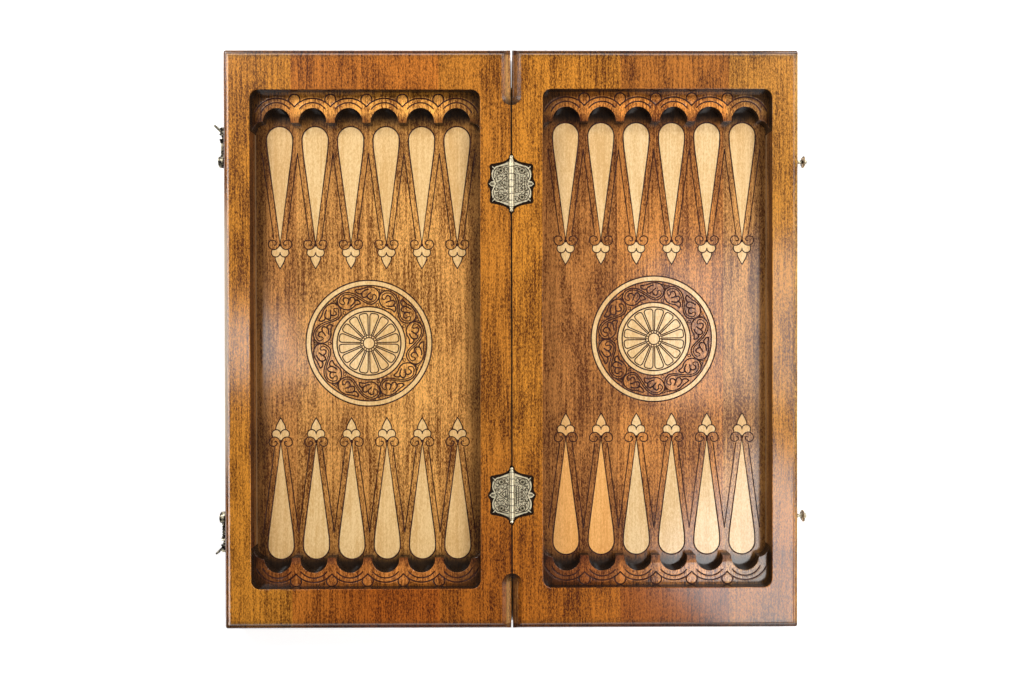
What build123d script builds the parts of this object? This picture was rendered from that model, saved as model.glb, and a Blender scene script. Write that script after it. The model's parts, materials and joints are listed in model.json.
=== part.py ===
from build123d import *
import math
import os

# A chess and backgammon board that folds into its own case, in millimetres.
# It lies open and flat, playing side up. X runs across the two halves, Y runs
# along the seam and Z is up. The origin is on the table under the middle of
# the seam. Each half is built on the +X side, and the left one is mirrored.

# The case: two trays, each milled from one glued-up beech panel
board_length = 600.0
half_width = 297.5
tray_height = 30.0
seam_gap = 0.8
tray_corner_radius = 2.5
underside_round = 2.0

# Outer edge moulding: a rounded band, then a sloped step up to the flat rim
band_round = 3.8
band_ledge = 0.4
step_run = 2.3
step_rise = 1.3

# The recess inside each tray
outer_rail = 27.9
spine_rail = 32.0
end_rail = 41.9
recess_corner_radius = 9.0
shelf_drop = 10.0
recess_depth = 21.0
rim_bevel = 0.7
arch_bevel = 0.5
recess_shift = {"left": 0.0, "right": 0.8}

# The arcade: a shelf at each end of a recess with six arches cut to the floor
points_per_table = 6
wall_strip = 6.3
column_width = 9.0
arch_spring = 29.4
column_reach = 30.6
nose_run = 7.0
nose_drop = 1.2
arcade_shift = {"left": -1.0, "right": 0.5}

# Glue joints between staves, counted in columns from the outer wall, each
# with its distance from the middle of that column towards the seam
stave_joints = {
    "left": [("outer", 1, -2.0), ("outer_middle", 3, -0.7), ("inner_middle", 5, 1.1)],
    "right": [("outer", 1, 2.5), ("middle", 4, 1.7)],
}

# Finger coves along the seam at both ends
cove_straight = 48.0
cove_half_width = 10.1
cove_profile = [(6.2, -1.8), (4.3, -3.5), (3.5, -3.5)]
cove_lip = 0.3
cove_seam_depth = 6.4
seam_ease_length = 29.0
seam_ease = 0.5

# Hinges, let into the rims across the seam
hinge_inset = 139.0
pin_rise = 0.15
barrel_radius = 2.5
knuckle_count = 7
knuckle_pitch = 6.9
knuckle_gap = 0.1
barrel_clearance = 0.4
leaf_thickness = 1.6
leaf_sink = 0.15

# A leaf's outline: reach from the pin, and drop in from the end of the barrel
leaf_shoulder = (7.6, 3.4)
leaf_brow = (13.0, 5.5)
leaf_scallop = (16.0, 6.3)
leaf_notch = (17.3, 7.6)
leaf_spur = (19.9, 5.8)
leaf_spur_root = (18.9, 8.8)
leaf_side_reach = 20.4

# The cusp in the middle of a leaf: reach and distance from the middle
leaf_waist = (18.1, 2.9)
leaf_cusp_shoulder = (20.6, 2.5)
leaf_reach = 23.2

# The routed bed round a leaf: how far it stands off each part of the outline
bed_gap = 1.6
bed_depth_gap = 0.05
bed_tip_gap = 2.5
bed_throat = (1.5, 1.5)
bed_neck = (2.3, 1.8)
bed_head = (-1.1, 2.3)
bed_corner = (2.0, 1.3)
bed_shoulder = (2.8, -1.8)
bed_waist = (2.4, 1.9)

# Hinge pins with a turned finial at each end
pin_radius = 1.2
pin_fit = 0.05
finial_length = 5.3
finial_collar_radius = 2.1
finial_neck_radius = 1.45
finial_ball_radius = 1.9

# Countersunk hinge screws, two to a leaf
screw_place = (10.9, 13.7)
screw_head_radius = 1.9
screw_head_height = 1.1
screw_shank_radius = 0.9
screw_length = 10.0
screw_fit = 0.05
slot_width = 0.5
slot_depth = 0.45

# Latches: hooks on the left edge and catch posts on the right edge
latch_inset = 114.0
latch_drop = 12.5
washer_radius = 6.6
washer_thickness = 1.5
pivot_neck_radius = 1.8
pivot_fit = 0.05
pivot_head_radius = 5.75
pivot_head_start = 6.1
pivot_head_end = 7.9
pivot_screw_radius = 1.5
catch_flange_radius = 4.7
catch_neck_radius = 1.9
catch_disc_start = 7.4
catch_disc_end = 10.1
catch_disc_radius = 6.15
catch_cap_radius = 2.6
catch_reach = 12.2
catch_screw_radius = 1.75
latch_screw_length = 14.0

# The hook: an eye, a straight arm, a notched head with a blunt toe, and a finger tail
hook_inner_face = 1.9
hook_thickness = 3.8
hook_eye_radius = 6.1
hook_arm_width = 3.8
hook_head_radius = 5.4
hook_notch_clearance = 0.25
hook_tail_length = 6.5
hook_tail_width = 5.2
hook_tail_thickness = 1.5
hook_tail_tip_width = 7.6
hook_tail_clearance = 0.5
hook_toe_length = 3.7
hook_toe_thickness = 2.6

# Places worked out from the sizes above
seam_face = seam_gap / 2
outer_face = seam_face + half_width
recess_inner = seam_face + spine_rail
recess_outer = outer_face - outer_rail
recess_width = recess_outer - recess_inner
recess_end = board_length / 2 - end_rail
shelf_level = tray_height - shelf_drop
floor_level = tray_height - recess_depth
arch_pitch = (recess_width - 2 * wall_strip) / points_per_table
arch_radius = (arch_pitch - column_width) / 2
arcade_side = wall_strip + column_width / 2
hinge_offset = board_length / 2 - hinge_inset
latch_offset = board_length / 2 - latch_inset
latch_height = tray_height - latch_drop
pin_height = tray_height + pin_rise
barrel_half_length = knuckle_count * knuckle_pitch / 2
pin_reach = barrel_half_length + finial_length
leaf_top = tray_height - leaf_sink
latch_span = 2 * (pin_height - latch_height)
notch_radius = catch_neck_radius + hook_notch_clearance

os.makedirs("parts", exist_ok=True)


def block(x_range, y_range, z_range):
    """A box given by its limits along each axis."""
    size = [high - low for low, high in (x_range, y_range, z_range)]
    middle = [(high + low) / 2 for low, high in (x_range, y_range, z_range)]
    return Pos(*middle) * Box(*size)


def area(x_range, y_range):
    """A rectangle in the XY plane given by its limits."""
    middle_x = (x_range[0] + x_range[1]) / 2
    middle_y = (y_range[0] + y_range[1]) / 2
    return Pos(middle_x, middle_y) * Rectangle(x_range[1] - x_range[0], y_range[1] - y_range[0])


def turned(outline, plane=Plane.XZ):
    """A turned piece: an outline of radius and height, revolved about its upright axis."""
    face = make_face(plane * Polyline(*outline, close=True))
    return revolve(face, Axis(plane.origin, plane.y_dir), 360)


def save(name, shape):
    export_step(shape, f"parts/{name}.step")


# The milled tray
def outer_edges(shape, level):
    """Edges of the top (-1) or bottom (0) face, apart from the one past the seam."""
    edges = shape.edges().group_by(Axis.Z)[level]
    return edges.filter_by(lambda edge: edge.center().X > 0)


def tray_blank():
    """The panel before milling, with its moulded outer edges."""
    half_length = board_length / 2
    band_top = tray_height - step_rise
    reach = 4 * band_round
    outline = area((seam_face - reach, outer_face), (-half_length, half_length))
    outline = fillet(outline.vertices().group_by(Axis.X)[-1], tray_corner_radius)
    base = extrude(outline, band_top)
    base = fillet(outer_edges(base, -1), band_round)
    base = fillet(outer_edges(base, 0), underside_round)
    inset = band_round + band_ledge
    rim = area((seam_face - reach, outer_face - inset), (inset - half_length, half_length - inset))
    slope = math.degrees(math.atan2(step_run, step_rise))
    rim = extrude(Pos(0, 0, band_top) * rim, step_rise, taper=slope)
    trim = block((seam_face, outer_face + 1), (-half_length - 1, half_length + 1), (-1, tray_height + 1))
    return (base + rim) & trim


def well_outline(shift):
    """The part of the recess that reaches the floor, with its arches and corner curves."""
    straight_end = recess_end - arch_spring - arcade_side
    outline = area((recess_inner, recess_outer), (-straight_end, straight_end))
    for end in (-1, 1):
        spring_line = end * (recess_end - arch_spring) + shift
        column_line = end * (recess_end - column_reach) + shift
        corner_line = spring_line - end * arcade_side
        lane = (recess_inner + arcade_side, recess_outer - arcade_side)
        outline += area(lane, sorted((0.0, column_line)))
        for corner in lane:
            outline += Pos(corner, corner_line) * Circle(arcade_side)
        outline += area((recess_inner, recess_outer), sorted((0.0, corner_line)))
        for number in range(points_per_table):
            centre = recess_inner + wall_strip + (number + 0.5) * arch_pitch
            outline += Pos(centre, spring_line) * Circle(arch_radius)
            outline += area((centre - arch_radius, centre + arch_radius), sorted((0.0, spring_line)))
    return outline


def bevelled_pocket(outline, top, bottom, bevel):
    """A pocket milled straight down, with a small bevel round its mouth."""
    pocket = extrude(Pos(0, 0, bottom) * outline, top - bottom)
    mouth = extrude(Pos(0, 0, top) * offset(outline, bevel, kind=Kind.INTERSECTION), -bevel, taper=45)
    return pocket + mouth


def column_noses(shift):
    """Wedges that slope the tops of the columns down towards the middle of the tray."""
    lane = recess_width - 2 * arcade_side
    fall = nose_drop / nose_run
    wedges = []
    for end in (-1, 1):
        column_line = end * (recess_end - column_reach) + shift
        foot = column_line - end
        head = column_line + end * (arch_bevel + nose_run)
        corners = [
            (head, shelf_level),
            (foot, shelf_level - fall * abs(head - foot)),
            (foot, shelf_level + 1),
            (head, shelf_level + 1),
        ]
        plane = Plane(origin=(recess_inner + arcade_side, 0, 0), x_dir=(0, 1, 0), z_dir=(1, 0, 0))
        wedges.append(extrude(make_face(plane * Polyline(*corners, close=True)), lane))
    return wedges


def recess(side):
    """Everything milled out of the inside of a tray, as a list of cuts."""
    shift = recess_shift[side]
    rim_outline = area((recess_inner, recess_outer), (shift - recess_end, shift + recess_end))
    rim_outline = fillet(rim_outline.vertices(), recess_corner_radius)
    upper = bevelled_pocket(rim_outline, tray_height, shelf_level, rim_bevel)
    shift = arcade_shift[side]
    lower = bevelled_pocket(well_outline(shift), shelf_level, floor_level, arch_bevel)
    return [upper + lower] + column_noses(shift)


def finger_coves():
    """The two shallow coves along the seam edge, each with a round end."""
    half_length = board_length / 2
    edge = [(cove_half_width, 1.0), (cove_half_width, -cove_lip)] + cove_profile
    section = make_face(
        Line((0, 1.0), edge[0])
        + Polyline(*edge)
        + ThreePointArc(
            edge[-1],
            (edge[-1][0] * 0.32, (edge[-1][1] - cove_seam_depth) / 2 + 0.55),
            (0, -cove_seam_depth),
        )
        + Line((0, -cove_seam_depth), (0, 1.0))
    )
    coves = []
    for end in (-1, 1):
        centre_y = end * (half_length - cove_straight)
        plane = Plane(origin=(0, centre_y, tray_height), x_dir=(1, 0, 0), z_dir=(0, -1, 0))
        face = plane * section
        round_end = revolve(face, Axis((0, centre_y, 0), (0, 0, 1)), 90 if end < 0 else -90)
        run = extrude(face, -end * (cove_straight + 1))
        coves += [round_end, run]
    return coves


def seam_reliefs():
    """Slim wedges that open the seam a little towards both ends."""
    half_length = board_length / 2
    wedges = []
    for end in (-1, 1):
        corners = [
            (seam_face - 1, end * (half_length - seam_ease_length)),
            (seam_face, end * (half_length - seam_ease_length)),
            (seam_face + seam_ease, end * half_length),
            (seam_face + seam_ease, end * (half_length + 1)),
            (seam_face - 1, end * (half_length + 1)),
        ]
        wedge = make_face(Polyline(*corners, close=True))
        wedges.append(extrude(Pos(0, 0, -1) * wedge, tray_height + 2))
    return wedges


# Cuts for the hinges and latches
def from_barrel_end(point, shift=(0.0, 0.0)):
    """A point given by its reach and its drop from the barrel's end, moved by a shift."""
    return point[0] + shift[0], barrel_half_length - point[1] + shift[1]


def mortise_outline():
    """The routed bed round a hinge leaf, drawn on the +X side."""
    peak = (0, pin_reach + bed_tip_gap)
    throat = (barrel_radius + bed_throat[0], barrel_half_length + bed_throat[1])
    neck = from_barrel_end(leaf_shoulder, bed_neck)
    head = from_barrel_end(leaf_spur, bed_head)
    corner = from_barrel_end(leaf_spur, bed_corner)
    shoulder = from_barrel_end(leaf_spur, bed_shoulder)
    waist = (leaf_cusp_shoulder[0] + bed_waist[0], leaf_cusp_shoulder[1] + bed_waist[1])
    side = (leaf_side_reach + bed_gap, (shoulder[1] + waist[1]) / 2)
    upper = [
        ThreePointArc(peak, throat, neck),
        Line(neck, head),
        ThreePointArc(head, corner, shoulder),
        ThreePointArc(shoulder, side, waist),
    ]
    lower = [edge.mirror(Plane.XZ) for edge in upper]
    lip = ThreePointArc(waist, (leaf_reach + bed_gap, 0), (waist[0], -waist[1]))
    back = Line(peak, (0, -peak[1]))
    return make_face(Curve() + upper + [lip, back] + lower)


def hinge_cuts(centre_y):
    """Bed, barrel groove and screw holes of one hinge in the +X half."""
    bed_depth = leaf_sink + leaf_thickness + bed_depth_gap
    bed = extrude(Pos(0, centre_y, tray_height - bed_depth) * mortise_outline(), bed_depth + 1)
    cuts = [bed]
    groove_radius = barrel_radius + barrel_clearance
    tip_start = pin_reach - barrel_radius / 2
    tip_length = bed_tip_gap + barrel_radius / 2
    cuts.append(Pos(0, centre_y, pin_height) * Rot(90, 0, 0) * Cylinder(groove_radius, 2 * tip_start))
    for end in (-1, 1):
        tip = Cone(groove_radius, barrel_clearance, tip_length)
        tip_middle = centre_y + end * (tip_start + tip_length / 2)
        cuts.append(Pos(0, tip_middle, pin_height) * Rot(-90 * end, 0, 0) * tip)
    for side in (-1, 1):
        place = Pos(screw_place[0], centre_y + side * screw_place[1], leaf_top - screw_length / 2)
        cuts.append(place * Cylinder(screw_shank_radius + screw_fit, screw_length + 2 * screw_fit))
    return cuts


def latch_hole(y, radius):
    """A blind hole in the outer face of the +X half."""
    hole = Cylinder(radius + screw_fit, latch_screw_length + screw_fit + 1)
    centre_x = outer_face + 1 - (latch_screw_length + screw_fit + 1) / 2
    return Pos(centre_x, y, latch_height) * Rot(0, 90, 0) * hole


def make_tray(side):
    """One milled tray on the +X side, before it is divided into staves."""
    screw_radius = pivot_screw_radius if side == "left" else catch_screw_radius
    cuts = recess(side) + finger_coves() + seam_reliefs()
    for centre_y in (hinge_offset, -hinge_offset):
        cuts += hinge_cuts(centre_y)
    for y in (latch_offset, -latch_offset):
        cuts.append(latch_hole(y, screw_radius))
    tray = tray_blank()
    for cut in cuts:
        tray -= cut
    return tray


def stave_ranges(side):
    """Name and X limits of each stave, from the outer edge to the spine."""
    ranges = []
    start = outer_face
    for name, column, nudge in stave_joints[side]:
        joint = recess_outer - wall_strip - column * arch_pitch - nudge
        ranges.append((f"{side}_{name}_stave", joint, start))
        start = joint
    ranges.append((f"{side}_spine_stave", seam_face, start))
    return ranges


def to_side(shape, side):
    """Mirrors a shape built on the +X side when it belongs to the left half."""
    return mirror(shape, Plane.YZ) if side == "left" else shape


def make_staves(side):
    tray = make_tray(side)
    half_length = board_length / 2
    for name, low, high in stave_ranges(side):
        low_limit = low if low > seam_face else seam_face - 1
        high_limit = high if high < outer_face else outer_face + 1
        zone = block((low_limit, high_limit), (-half_length - 1, half_length + 1), (-1, tray_height + 1))
        save(name, to_side(tray & zone, side))


# Hinges
def leaf_outline():
    """The cast plate of one leaf from the barrel outwards, drawn on the +X side."""
    start = (0, barrel_half_length)
    brow = from_barrel_end(leaf_brow)
    notch = from_barrel_end(leaf_notch)
    spur = from_barrel_end(leaf_spur)
    root = from_barrel_end(leaf_spur_root)
    side = (leaf_side_reach, (root[1] + leaf_waist[1]) / 2)
    upper = [
        ThreePointArc(start, from_barrel_end(leaf_shoulder), brow),
        ThreePointArc(brow, from_barrel_end(leaf_scallop), notch),
        Line(notch, spur),
        Line(spur, root),
        ThreePointArc(root, side, leaf_waist),
        Line(leaf_waist, leaf_cusp_shoulder),
        Line(leaf_cusp_shoulder, (leaf_reach, 0)),
    ]
    lower = [edge.mirror(Plane.XZ) for edge in upper]
    back = Line(start, (0, -barrel_half_length))
    return make_face(Curve() + upper + lower + [back])


def knuckle_range(number):
    """Limits along Y of one knuckle, counted from the upper end of the barrel."""
    high = barrel_half_length - number * knuckle_pitch - knuckle_gap
    low = barrel_half_length - (number + 1) * knuckle_pitch + knuckle_gap
    return low, high


def make_leaf(own_first):
    """One leaf on the +X side, whose own knuckles start at own_first and alternate."""
    top = -pin_rise - leaf_sink
    leaf = extrude(Pos(0, 0, top - leaf_thickness) * leaf_outline(), leaf_thickness)
    own_reach = barrel_radius + barrel_clearance
    for number in range(knuckle_count):
        low, high = knuckle_range(number)
        if number % 2 == own_first:
            middle = (low + high) / 2
            leaf += Pos(0, middle, 0) * Rot(90, 0, 0) * Cylinder(barrel_radius, high - low)
        else:
            margin = 2 * knuckle_gap
            leaf -= block((-1, own_reach), (low - margin, high + margin), (-barrel_radius - 1, 0))
    for end in (-1, 1):
        plate_ends = sorted((end * (barrel_half_length - knuckle_gap), end * (barrel_half_length + 1)))
        leaf -= block((-1, own_reach), plate_ends, (-barrel_radius - 1, 0))
    leaf -= Rot(90, 0, 0) * Cylinder(pin_radius + pin_fit, 2 * pin_reach)
    for side in (-1, 1):
        hole_bottom = top - leaf_thickness - 1
        hole = Cylinder(screw_shank_radius + screw_fit, leaf_thickness + 2)
        sink = Cone(
            screw_shank_radius + screw_fit,
            screw_head_radius + screw_fit,
            screw_head_height,
            align=(Align.CENTER, Align.CENTER, Align.MAX),
        )
        place_x, place_y = screw_place
        leaf -= Pos(place_x, side * place_y, hole_bottom + (leaf_thickness + 2) / 2) * hole
        leaf -= Pos(place_x, side * place_y, top) * sink
    return leaf


def make_screw():
    """A countersunk screw with a straight slot, its head at the origin and its point below."""
    outline = [
        (0, 0),
        (screw_head_radius, 0),
        (screw_shank_radius, -screw_head_height),
        (screw_shank_radius, -screw_length * 0.8),
        (0, -screw_length),
    ]
    slot_box = block(
        (-screw_head_radius, screw_head_radius), (-slot_width / 2, slot_width / 2), (-slot_depth, 1)
    )
    return turned(outline) - slot_box


def make_pin():
    """The hinge pin along Y, with a collar, neck and ball at each end."""
    end = finial_length
    profile = [
        (0, -end * 0.2),
        (pin_radius, -end * 0.2),
        (pin_radius, knuckle_gap),
        (finial_collar_radius, knuckle_gap),
        (finial_collar_radius, end * 0.22),
        (finial_neck_radius, end * 0.32),
        (finial_neck_radius, end * 0.42),
        (finial_ball_radius, end * 0.56),
        (finial_ball_radius, end * 0.72),
        (finial_neck_radius * 0.7, end * 0.9),
        (0, end),
    ]
    pin = Rot(90, 0, 0) * Cylinder(pin_radius, 2 * barrel_half_length)
    for direction in (-1, 1):
        plane = Plane(
            origin=(0, direction * barrel_half_length, 0), x_dir=(1, 0, 0), z_dir=(0, 0, direction)
        )
        pin += turned(profile, plane)
    return pin


def make_hinge(name, centre_y):
    left_leaf = mirror(make_leaf(0), Plane.YZ)
    place = Pos(0, centre_y, pin_height)
    save(f"{name}_left_leaf", place * left_leaf)
    save(f"{name}_right_leaf", place * make_leaf(1))
    save(f"{name}_pin", place * make_pin())
    for side, sign in (("left", -1), ("right", 1)):
        screws = []
        for end in (-1, 1):
            spot = Pos(sign * screw_place[0], centre_y + end * screw_place[1], leaf_top)
            screws.append(spot * Rot(0, 0, 35 * end * sign) * make_screw())
        save(f"{name}_{side}_screws", Compound(children=screws))


# Latches. Their pieces are turned about the Z axis from the outer face of the
# tray and then laid over to point away from it.
def outward(shape, side, y):
    """Puts a piece that stands on Z at a latch place on the outer face of one half."""
    sign = -1 if side == "left" else 1
    return Pos(sign * outer_face, y, latch_height) * Rot(0, sign * 90, 0) * shape


def domed_ring(outer_radius, bore_radius, thickness):
    """A washer with a flat foot and a domed top."""
    outline = [
        (bore_radius, 0),
        (outer_radius, 0),
        (outer_radius, thickness * 0.35),
        (outer_radius * 0.86, thickness * 0.75),
        (outer_radius * 0.66, thickness),
        (bore_radius, thickness),
    ]
    return turned(outline)


def make_pivot_stud():
    """The shouldered screw that the hook turns on."""
    head = pivot_head_end - pivot_head_start
    outline = [
        (0, -latch_screw_length),
        (pivot_screw_radius, -latch_screw_length * 0.8),
        (pivot_screw_radius, 0),
        (pivot_neck_radius, 0),
        (pivot_neck_radius, pivot_head_start),
        (pivot_head_radius, pivot_head_start),
        (pivot_head_radius, pivot_head_start + head * 0.45),
        (pivot_head_radius * 0.8, pivot_head_start + head * 0.8),
        (pivot_head_radius * 0.4, pivot_head_end),
        (0, pivot_head_end),
    ]
    return turned(outline)


def make_catch_post():
    """The turned catch: screw, neck, wide disc and a small cap."""
    rim = catch_disc_end - catch_disc_start
    cap = catch_reach - catch_disc_end
    outline = [
        (0, -latch_screw_length),
        (catch_screw_radius, -latch_screw_length * 0.8),
        (catch_screw_radius, 0),
        (catch_neck_radius, 0),
        (catch_neck_radius, catch_disc_start),
        (catch_disc_radius * 0.8, catch_disc_start),
        (catch_disc_radius, catch_disc_start + rim * 0.35),
        (catch_disc_radius, catch_disc_start + rim * 0.6),
        (catch_disc_radius * 0.6, catch_disc_end),
        (catch_cap_radius * 0.7, catch_disc_end),
        (catch_cap_radius, catch_disc_end + cap * 0.4),
        (catch_cap_radius, catch_disc_end + cap * 0.7),
        (catch_cap_radius * 0.6, catch_reach),
        (0, catch_reach),
    ]
    return turned(outline)


def make_hook():
    """The upper hook about its pivot, flat in XY, arm along +Y, notch open to +X.

    Z is the distance from the tray's outer face.
    """
    tail_start = latch_span + catch_disc_radius + hook_tail_clearance
    tail_end = tail_start + hook_tail_length
    toe_end = tail_start + hook_toe_length
    flat = Circle(hook_eye_radius)
    flat += area((-hook_arm_width / 2, hook_arm_width / 2), (0, latch_span))
    flat += Pos(0, latch_span) * Circle(hook_head_radius)
    flat += area((-hook_tail_width / 2, hook_tail_width / 2), (latch_span, tail_start))
    flat -= Circle(pivot_neck_radius + pivot_fit)
    flat -= Pos(0, latch_span) * Circle(notch_radius)
    mouth = (latch_span - notch_radius, latch_span + notch_radius)
    flat -= area((0, 2 * hook_head_radius), mouth)
    hook = extrude(Pos(0, 0, hook_inner_face) * flat, hook_thickness)
    outer = hook_inner_face + hook_thickness
    plane = Plane(origin=(0, 0, 0), x_dir=(0, 1, 0), z_dir=(1, 0, 0))
    side_view = make_face(
        plane
        * Polyline(
            (tail_start - hook_tail_thickness, hook_inner_face),
            (toe_end, hook_inner_face),
            (toe_end, hook_inner_face + hook_toe_thickness),
            (toe_end - hook_tail_thickness, outer + hook_tail_thickness / 2),
            (tail_end, catch_reach - hook_tail_thickness),
            (tail_end - hook_tail_thickness, catch_reach),
            (tail_start - hook_tail_thickness, outer),
            close=True,
        )
    )
    tail = extrude(side_view, hook_tail_tip_width / 2, both=True)
    wedge = make_face(
        Polyline(
            (-hook_tail_width / 2, tail_start - 2 * hook_tail_thickness),
            (hook_tail_width / 2, tail_start - 2 * hook_tail_thickness),
            (hook_tail_width / 2, tail_start),
            (hook_tail_tip_width / 2, tail_end),
            (-hook_tail_tip_width / 2, tail_end),
            (-hook_tail_width / 2, tail_start),
            close=True,
        )
    )
    return hook + (tail & extrude(wedge, catch_reach + 1))


def make_latches():
    for name, direction in (("upper", 1), ("lower", -1)):
        y = direction * latch_offset
        washer = domed_ring(washer_radius, pivot_neck_radius + pivot_fit, washer_thickness)
        flange = domed_ring(catch_flange_radius, catch_neck_radius + pivot_fit, washer_thickness)
        hook = make_hook() if direction > 0 else mirror(make_hook(), Plane.XZ)
        save(f"{name}_hook_washer", outward(washer, "left", y))
        save(f"{name}_hook_stud", outward(make_pivot_stud(), "left", y))
        save(f"{name}_hook", outward(hook, "left", y))
        save(f"{name}_catch_flange", outward(flange, "right", y))
        save(f"{name}_catch_post", outward(make_catch_post(), "right", y))


make_staves("left")
make_staves("right")
make_hinge("upper_hinge", hinge_offset)
make_hinge("lower_hinge", -hinge_offset)
make_latches()
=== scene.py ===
import json
import math
import bmesh
import bpy
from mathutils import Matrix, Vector, geometry, kdtree

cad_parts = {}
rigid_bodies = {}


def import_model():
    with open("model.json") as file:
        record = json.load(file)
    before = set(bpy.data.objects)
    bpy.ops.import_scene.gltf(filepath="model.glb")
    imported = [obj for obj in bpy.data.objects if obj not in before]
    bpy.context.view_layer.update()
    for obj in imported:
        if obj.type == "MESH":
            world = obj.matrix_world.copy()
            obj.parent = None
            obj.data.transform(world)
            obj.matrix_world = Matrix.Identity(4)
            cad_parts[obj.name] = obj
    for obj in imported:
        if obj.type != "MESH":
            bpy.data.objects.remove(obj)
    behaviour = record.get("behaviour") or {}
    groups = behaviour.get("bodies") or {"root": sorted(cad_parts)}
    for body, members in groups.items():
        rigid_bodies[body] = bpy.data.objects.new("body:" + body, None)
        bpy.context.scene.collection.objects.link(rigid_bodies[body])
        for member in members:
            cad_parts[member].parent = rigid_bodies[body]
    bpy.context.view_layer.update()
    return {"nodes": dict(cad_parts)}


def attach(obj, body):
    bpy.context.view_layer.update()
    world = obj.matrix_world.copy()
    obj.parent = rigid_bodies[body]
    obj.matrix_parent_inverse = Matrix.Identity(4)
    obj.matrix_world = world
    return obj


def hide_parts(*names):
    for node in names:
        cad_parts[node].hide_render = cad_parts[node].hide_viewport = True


for leftover in list(bpy.data.objects):
    bpy.data.objects.remove(leftover)
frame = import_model()

# Sizes of the board that the carving lines up with, in millimetres
SEAM_FACE = 0.4
COVE_HALF = 10.6
COVE_FLOOR = 23.0
COVE_STOP = (240.5, 260.0)
TRAY_CENTRE = 151.2
RECESS_INNER = 32.4
RECESS_OUTER = 270.0
RECESS_END = 258.1
FLOOR = 9.0
SHELF = 20.0
RIM = 30.0
LEAF_TOP = 29.85
PITCH = 37.5
POINTS = 6
ARCADE_SHIFT = {-1: -1.0, 1: 0.5}
FLOOR_SHIFT = {-1: -3.6, 1: 0.6}
GLUE_JOINTS = (-228.2, -151.9, -75.1, 0.0, 112.0, 223.7)
HINGE_Y = 161.0
MM = 0.001

# What a face of the carving is made of: the place of its material on the piece
STAIN, BARE, BURN, SHADE, COVE = range(5)

# The V-shaped line of the carving
LINE_HALF = 0.72
LINE_DEPTH = 0.6
FINE_HALF = 0.58
ARC_STEP = 1.5

# A painted highlight: the shallow line beside a line of the arcade, in the lighter stain against the darker
# ground
SHOULDER_OFF = 1.35
SHOULDER_HALF = 0.36
SHOULDER_DEPTH = 0.15


# Curves of the carving, as lists of points

def arc(cx, cy, radius, start, end, step=ARC_STEP):
    turn = math.radians(end - start)
    count = max(4, math.ceil(abs(turn) * radius / step), math.ceil(abs(turn) / 0.4))
    first = math.radians(start)
    return [
        (cx + radius * math.cos(first + turn * i / count), cy + radius * math.sin(first + turn * i / count))
        for i in range(count + 1)
    ]


def circle(cx, cy, radius, step=ARC_STEP):
    return arc(cx, cy, radius, 0, 360, step)[:-1]


def spline(points, per_span=5):
    """A smooth line through the points."""
    out = []
    ends = [points[0]] + list(points) + [points[-1]]
    for k in range(1, len(ends) - 2):
        a, b, c, d = ends[k - 1:k + 3]
        for i in range(per_span):
            t = i / per_span
            out.append(tuple(
                0.5 * (2 * b[n] + (c[n] - a[n]) * t + (2 * a[n] - 5 * b[n] + 4 * c[n] - d[n]) * t * t
                       + (3 * b[n] - a[n] - 3 * c[n] + d[n]) * t ** 3)
                for n in (0, 1)
            ))
    return out + [tuple(points[-1])]


def mirrored(points):
    return [(-x, y) for x, y in points]


def pairs(ring):
    """Each item of a closed ring with the one after it."""
    return zip(ring, ring[1:] + ring[:1])


def box_of(points):
    xs = [p[0] for p in points]
    ys = [p[1] for p in points]
    return (min(xs), min(ys)), (max(xs), max(ys))


def foot_of(point, a, b):
    """Where the nearest place on the line through a and b lies, as a share of a to b."""
    run = (b[0] - a[0], b[1] - a[1])
    return ((point[0] - a[0]) * run[0] + (point[1] - a[1]) * run[1]) / (run[0] ** 2 + run[1] ** 2)


def away_from(point, a, b, share):
    return math.hypot(point[0] - a[0] - (b[0] - a[0]) * share, point[1] - a[1] - (b[1] - a[1]) * share)


def inside(x, y, polygon):
    hit = False
    for (ax, ay), (bx, by) in pairs(polygon):
        if (ay > y) != (by > y) and x < ax + (y - ay) * (bx - ax) / (by - ay):
            hit = not hit
    return hit


class Line:
    """One carved line: its centre, half its width, its depth, whether it closes, and what it shows."""

    def __init__(self, points, half=LINE_HALF, depth=LINE_DEPTH, closed=False, kind=BURN):
        self.points = list(points)
        self.half = half
        self.depth = depth
        self.closed = closed
        self.kind = kind

    def moved(self, place):
        return Line([place(x, y) for x, y in self.points], self.half, self.depth, self.closed, self.kind)


def column(k):
    """The middle of one point of the row, from the middle of the tray."""
    return (k - (POINTS - 1) / 2) * PITCH


# One point of the backgammon side: u across, v from the middle of the tray towards its end

HEAD_RADIUS = 13.9
HEAD_V = 215.4
FLANK_TOP = (12.57, 198.2)
TIP_V = 106.7
STEM_END_V = 102.8
OUTER_FLANK_TOP = (PITCH / 2, 200.9)
OUTER_FLANK_END = (6.6, 110.7)
VOLUTE = (6.75, 105.0)
VOLUTE_RADIUS = 5.95
VOLUTE_STEPS = 34
VOLUTE_TURN = 470.0
VOLUTE_OPEN = 215.0
VOLUTE_DRIFT = 0.6
LOBE = (4.6, 96.1)
LOBE_RADIUS = 4.65
LEAF_SIDE = (5.2, 89.6)
LEAF_TIP_V = 78.9
LEAF_BASE_V = 95.7
FORK_REACH = 3.4


def drop_outline():
    half = arc(0, HEAD_V, HEAD_RADIUS, 90, 0)
    half += spline([(HEAD_RADIUS, HEAD_V), (13.75, 210.0), (13.3, 204.5), FLANK_TOP], 3)[1:]
    half.append((0.0, TIP_V))
    return half + mirrored(half[1:-1])[::-1]


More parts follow.
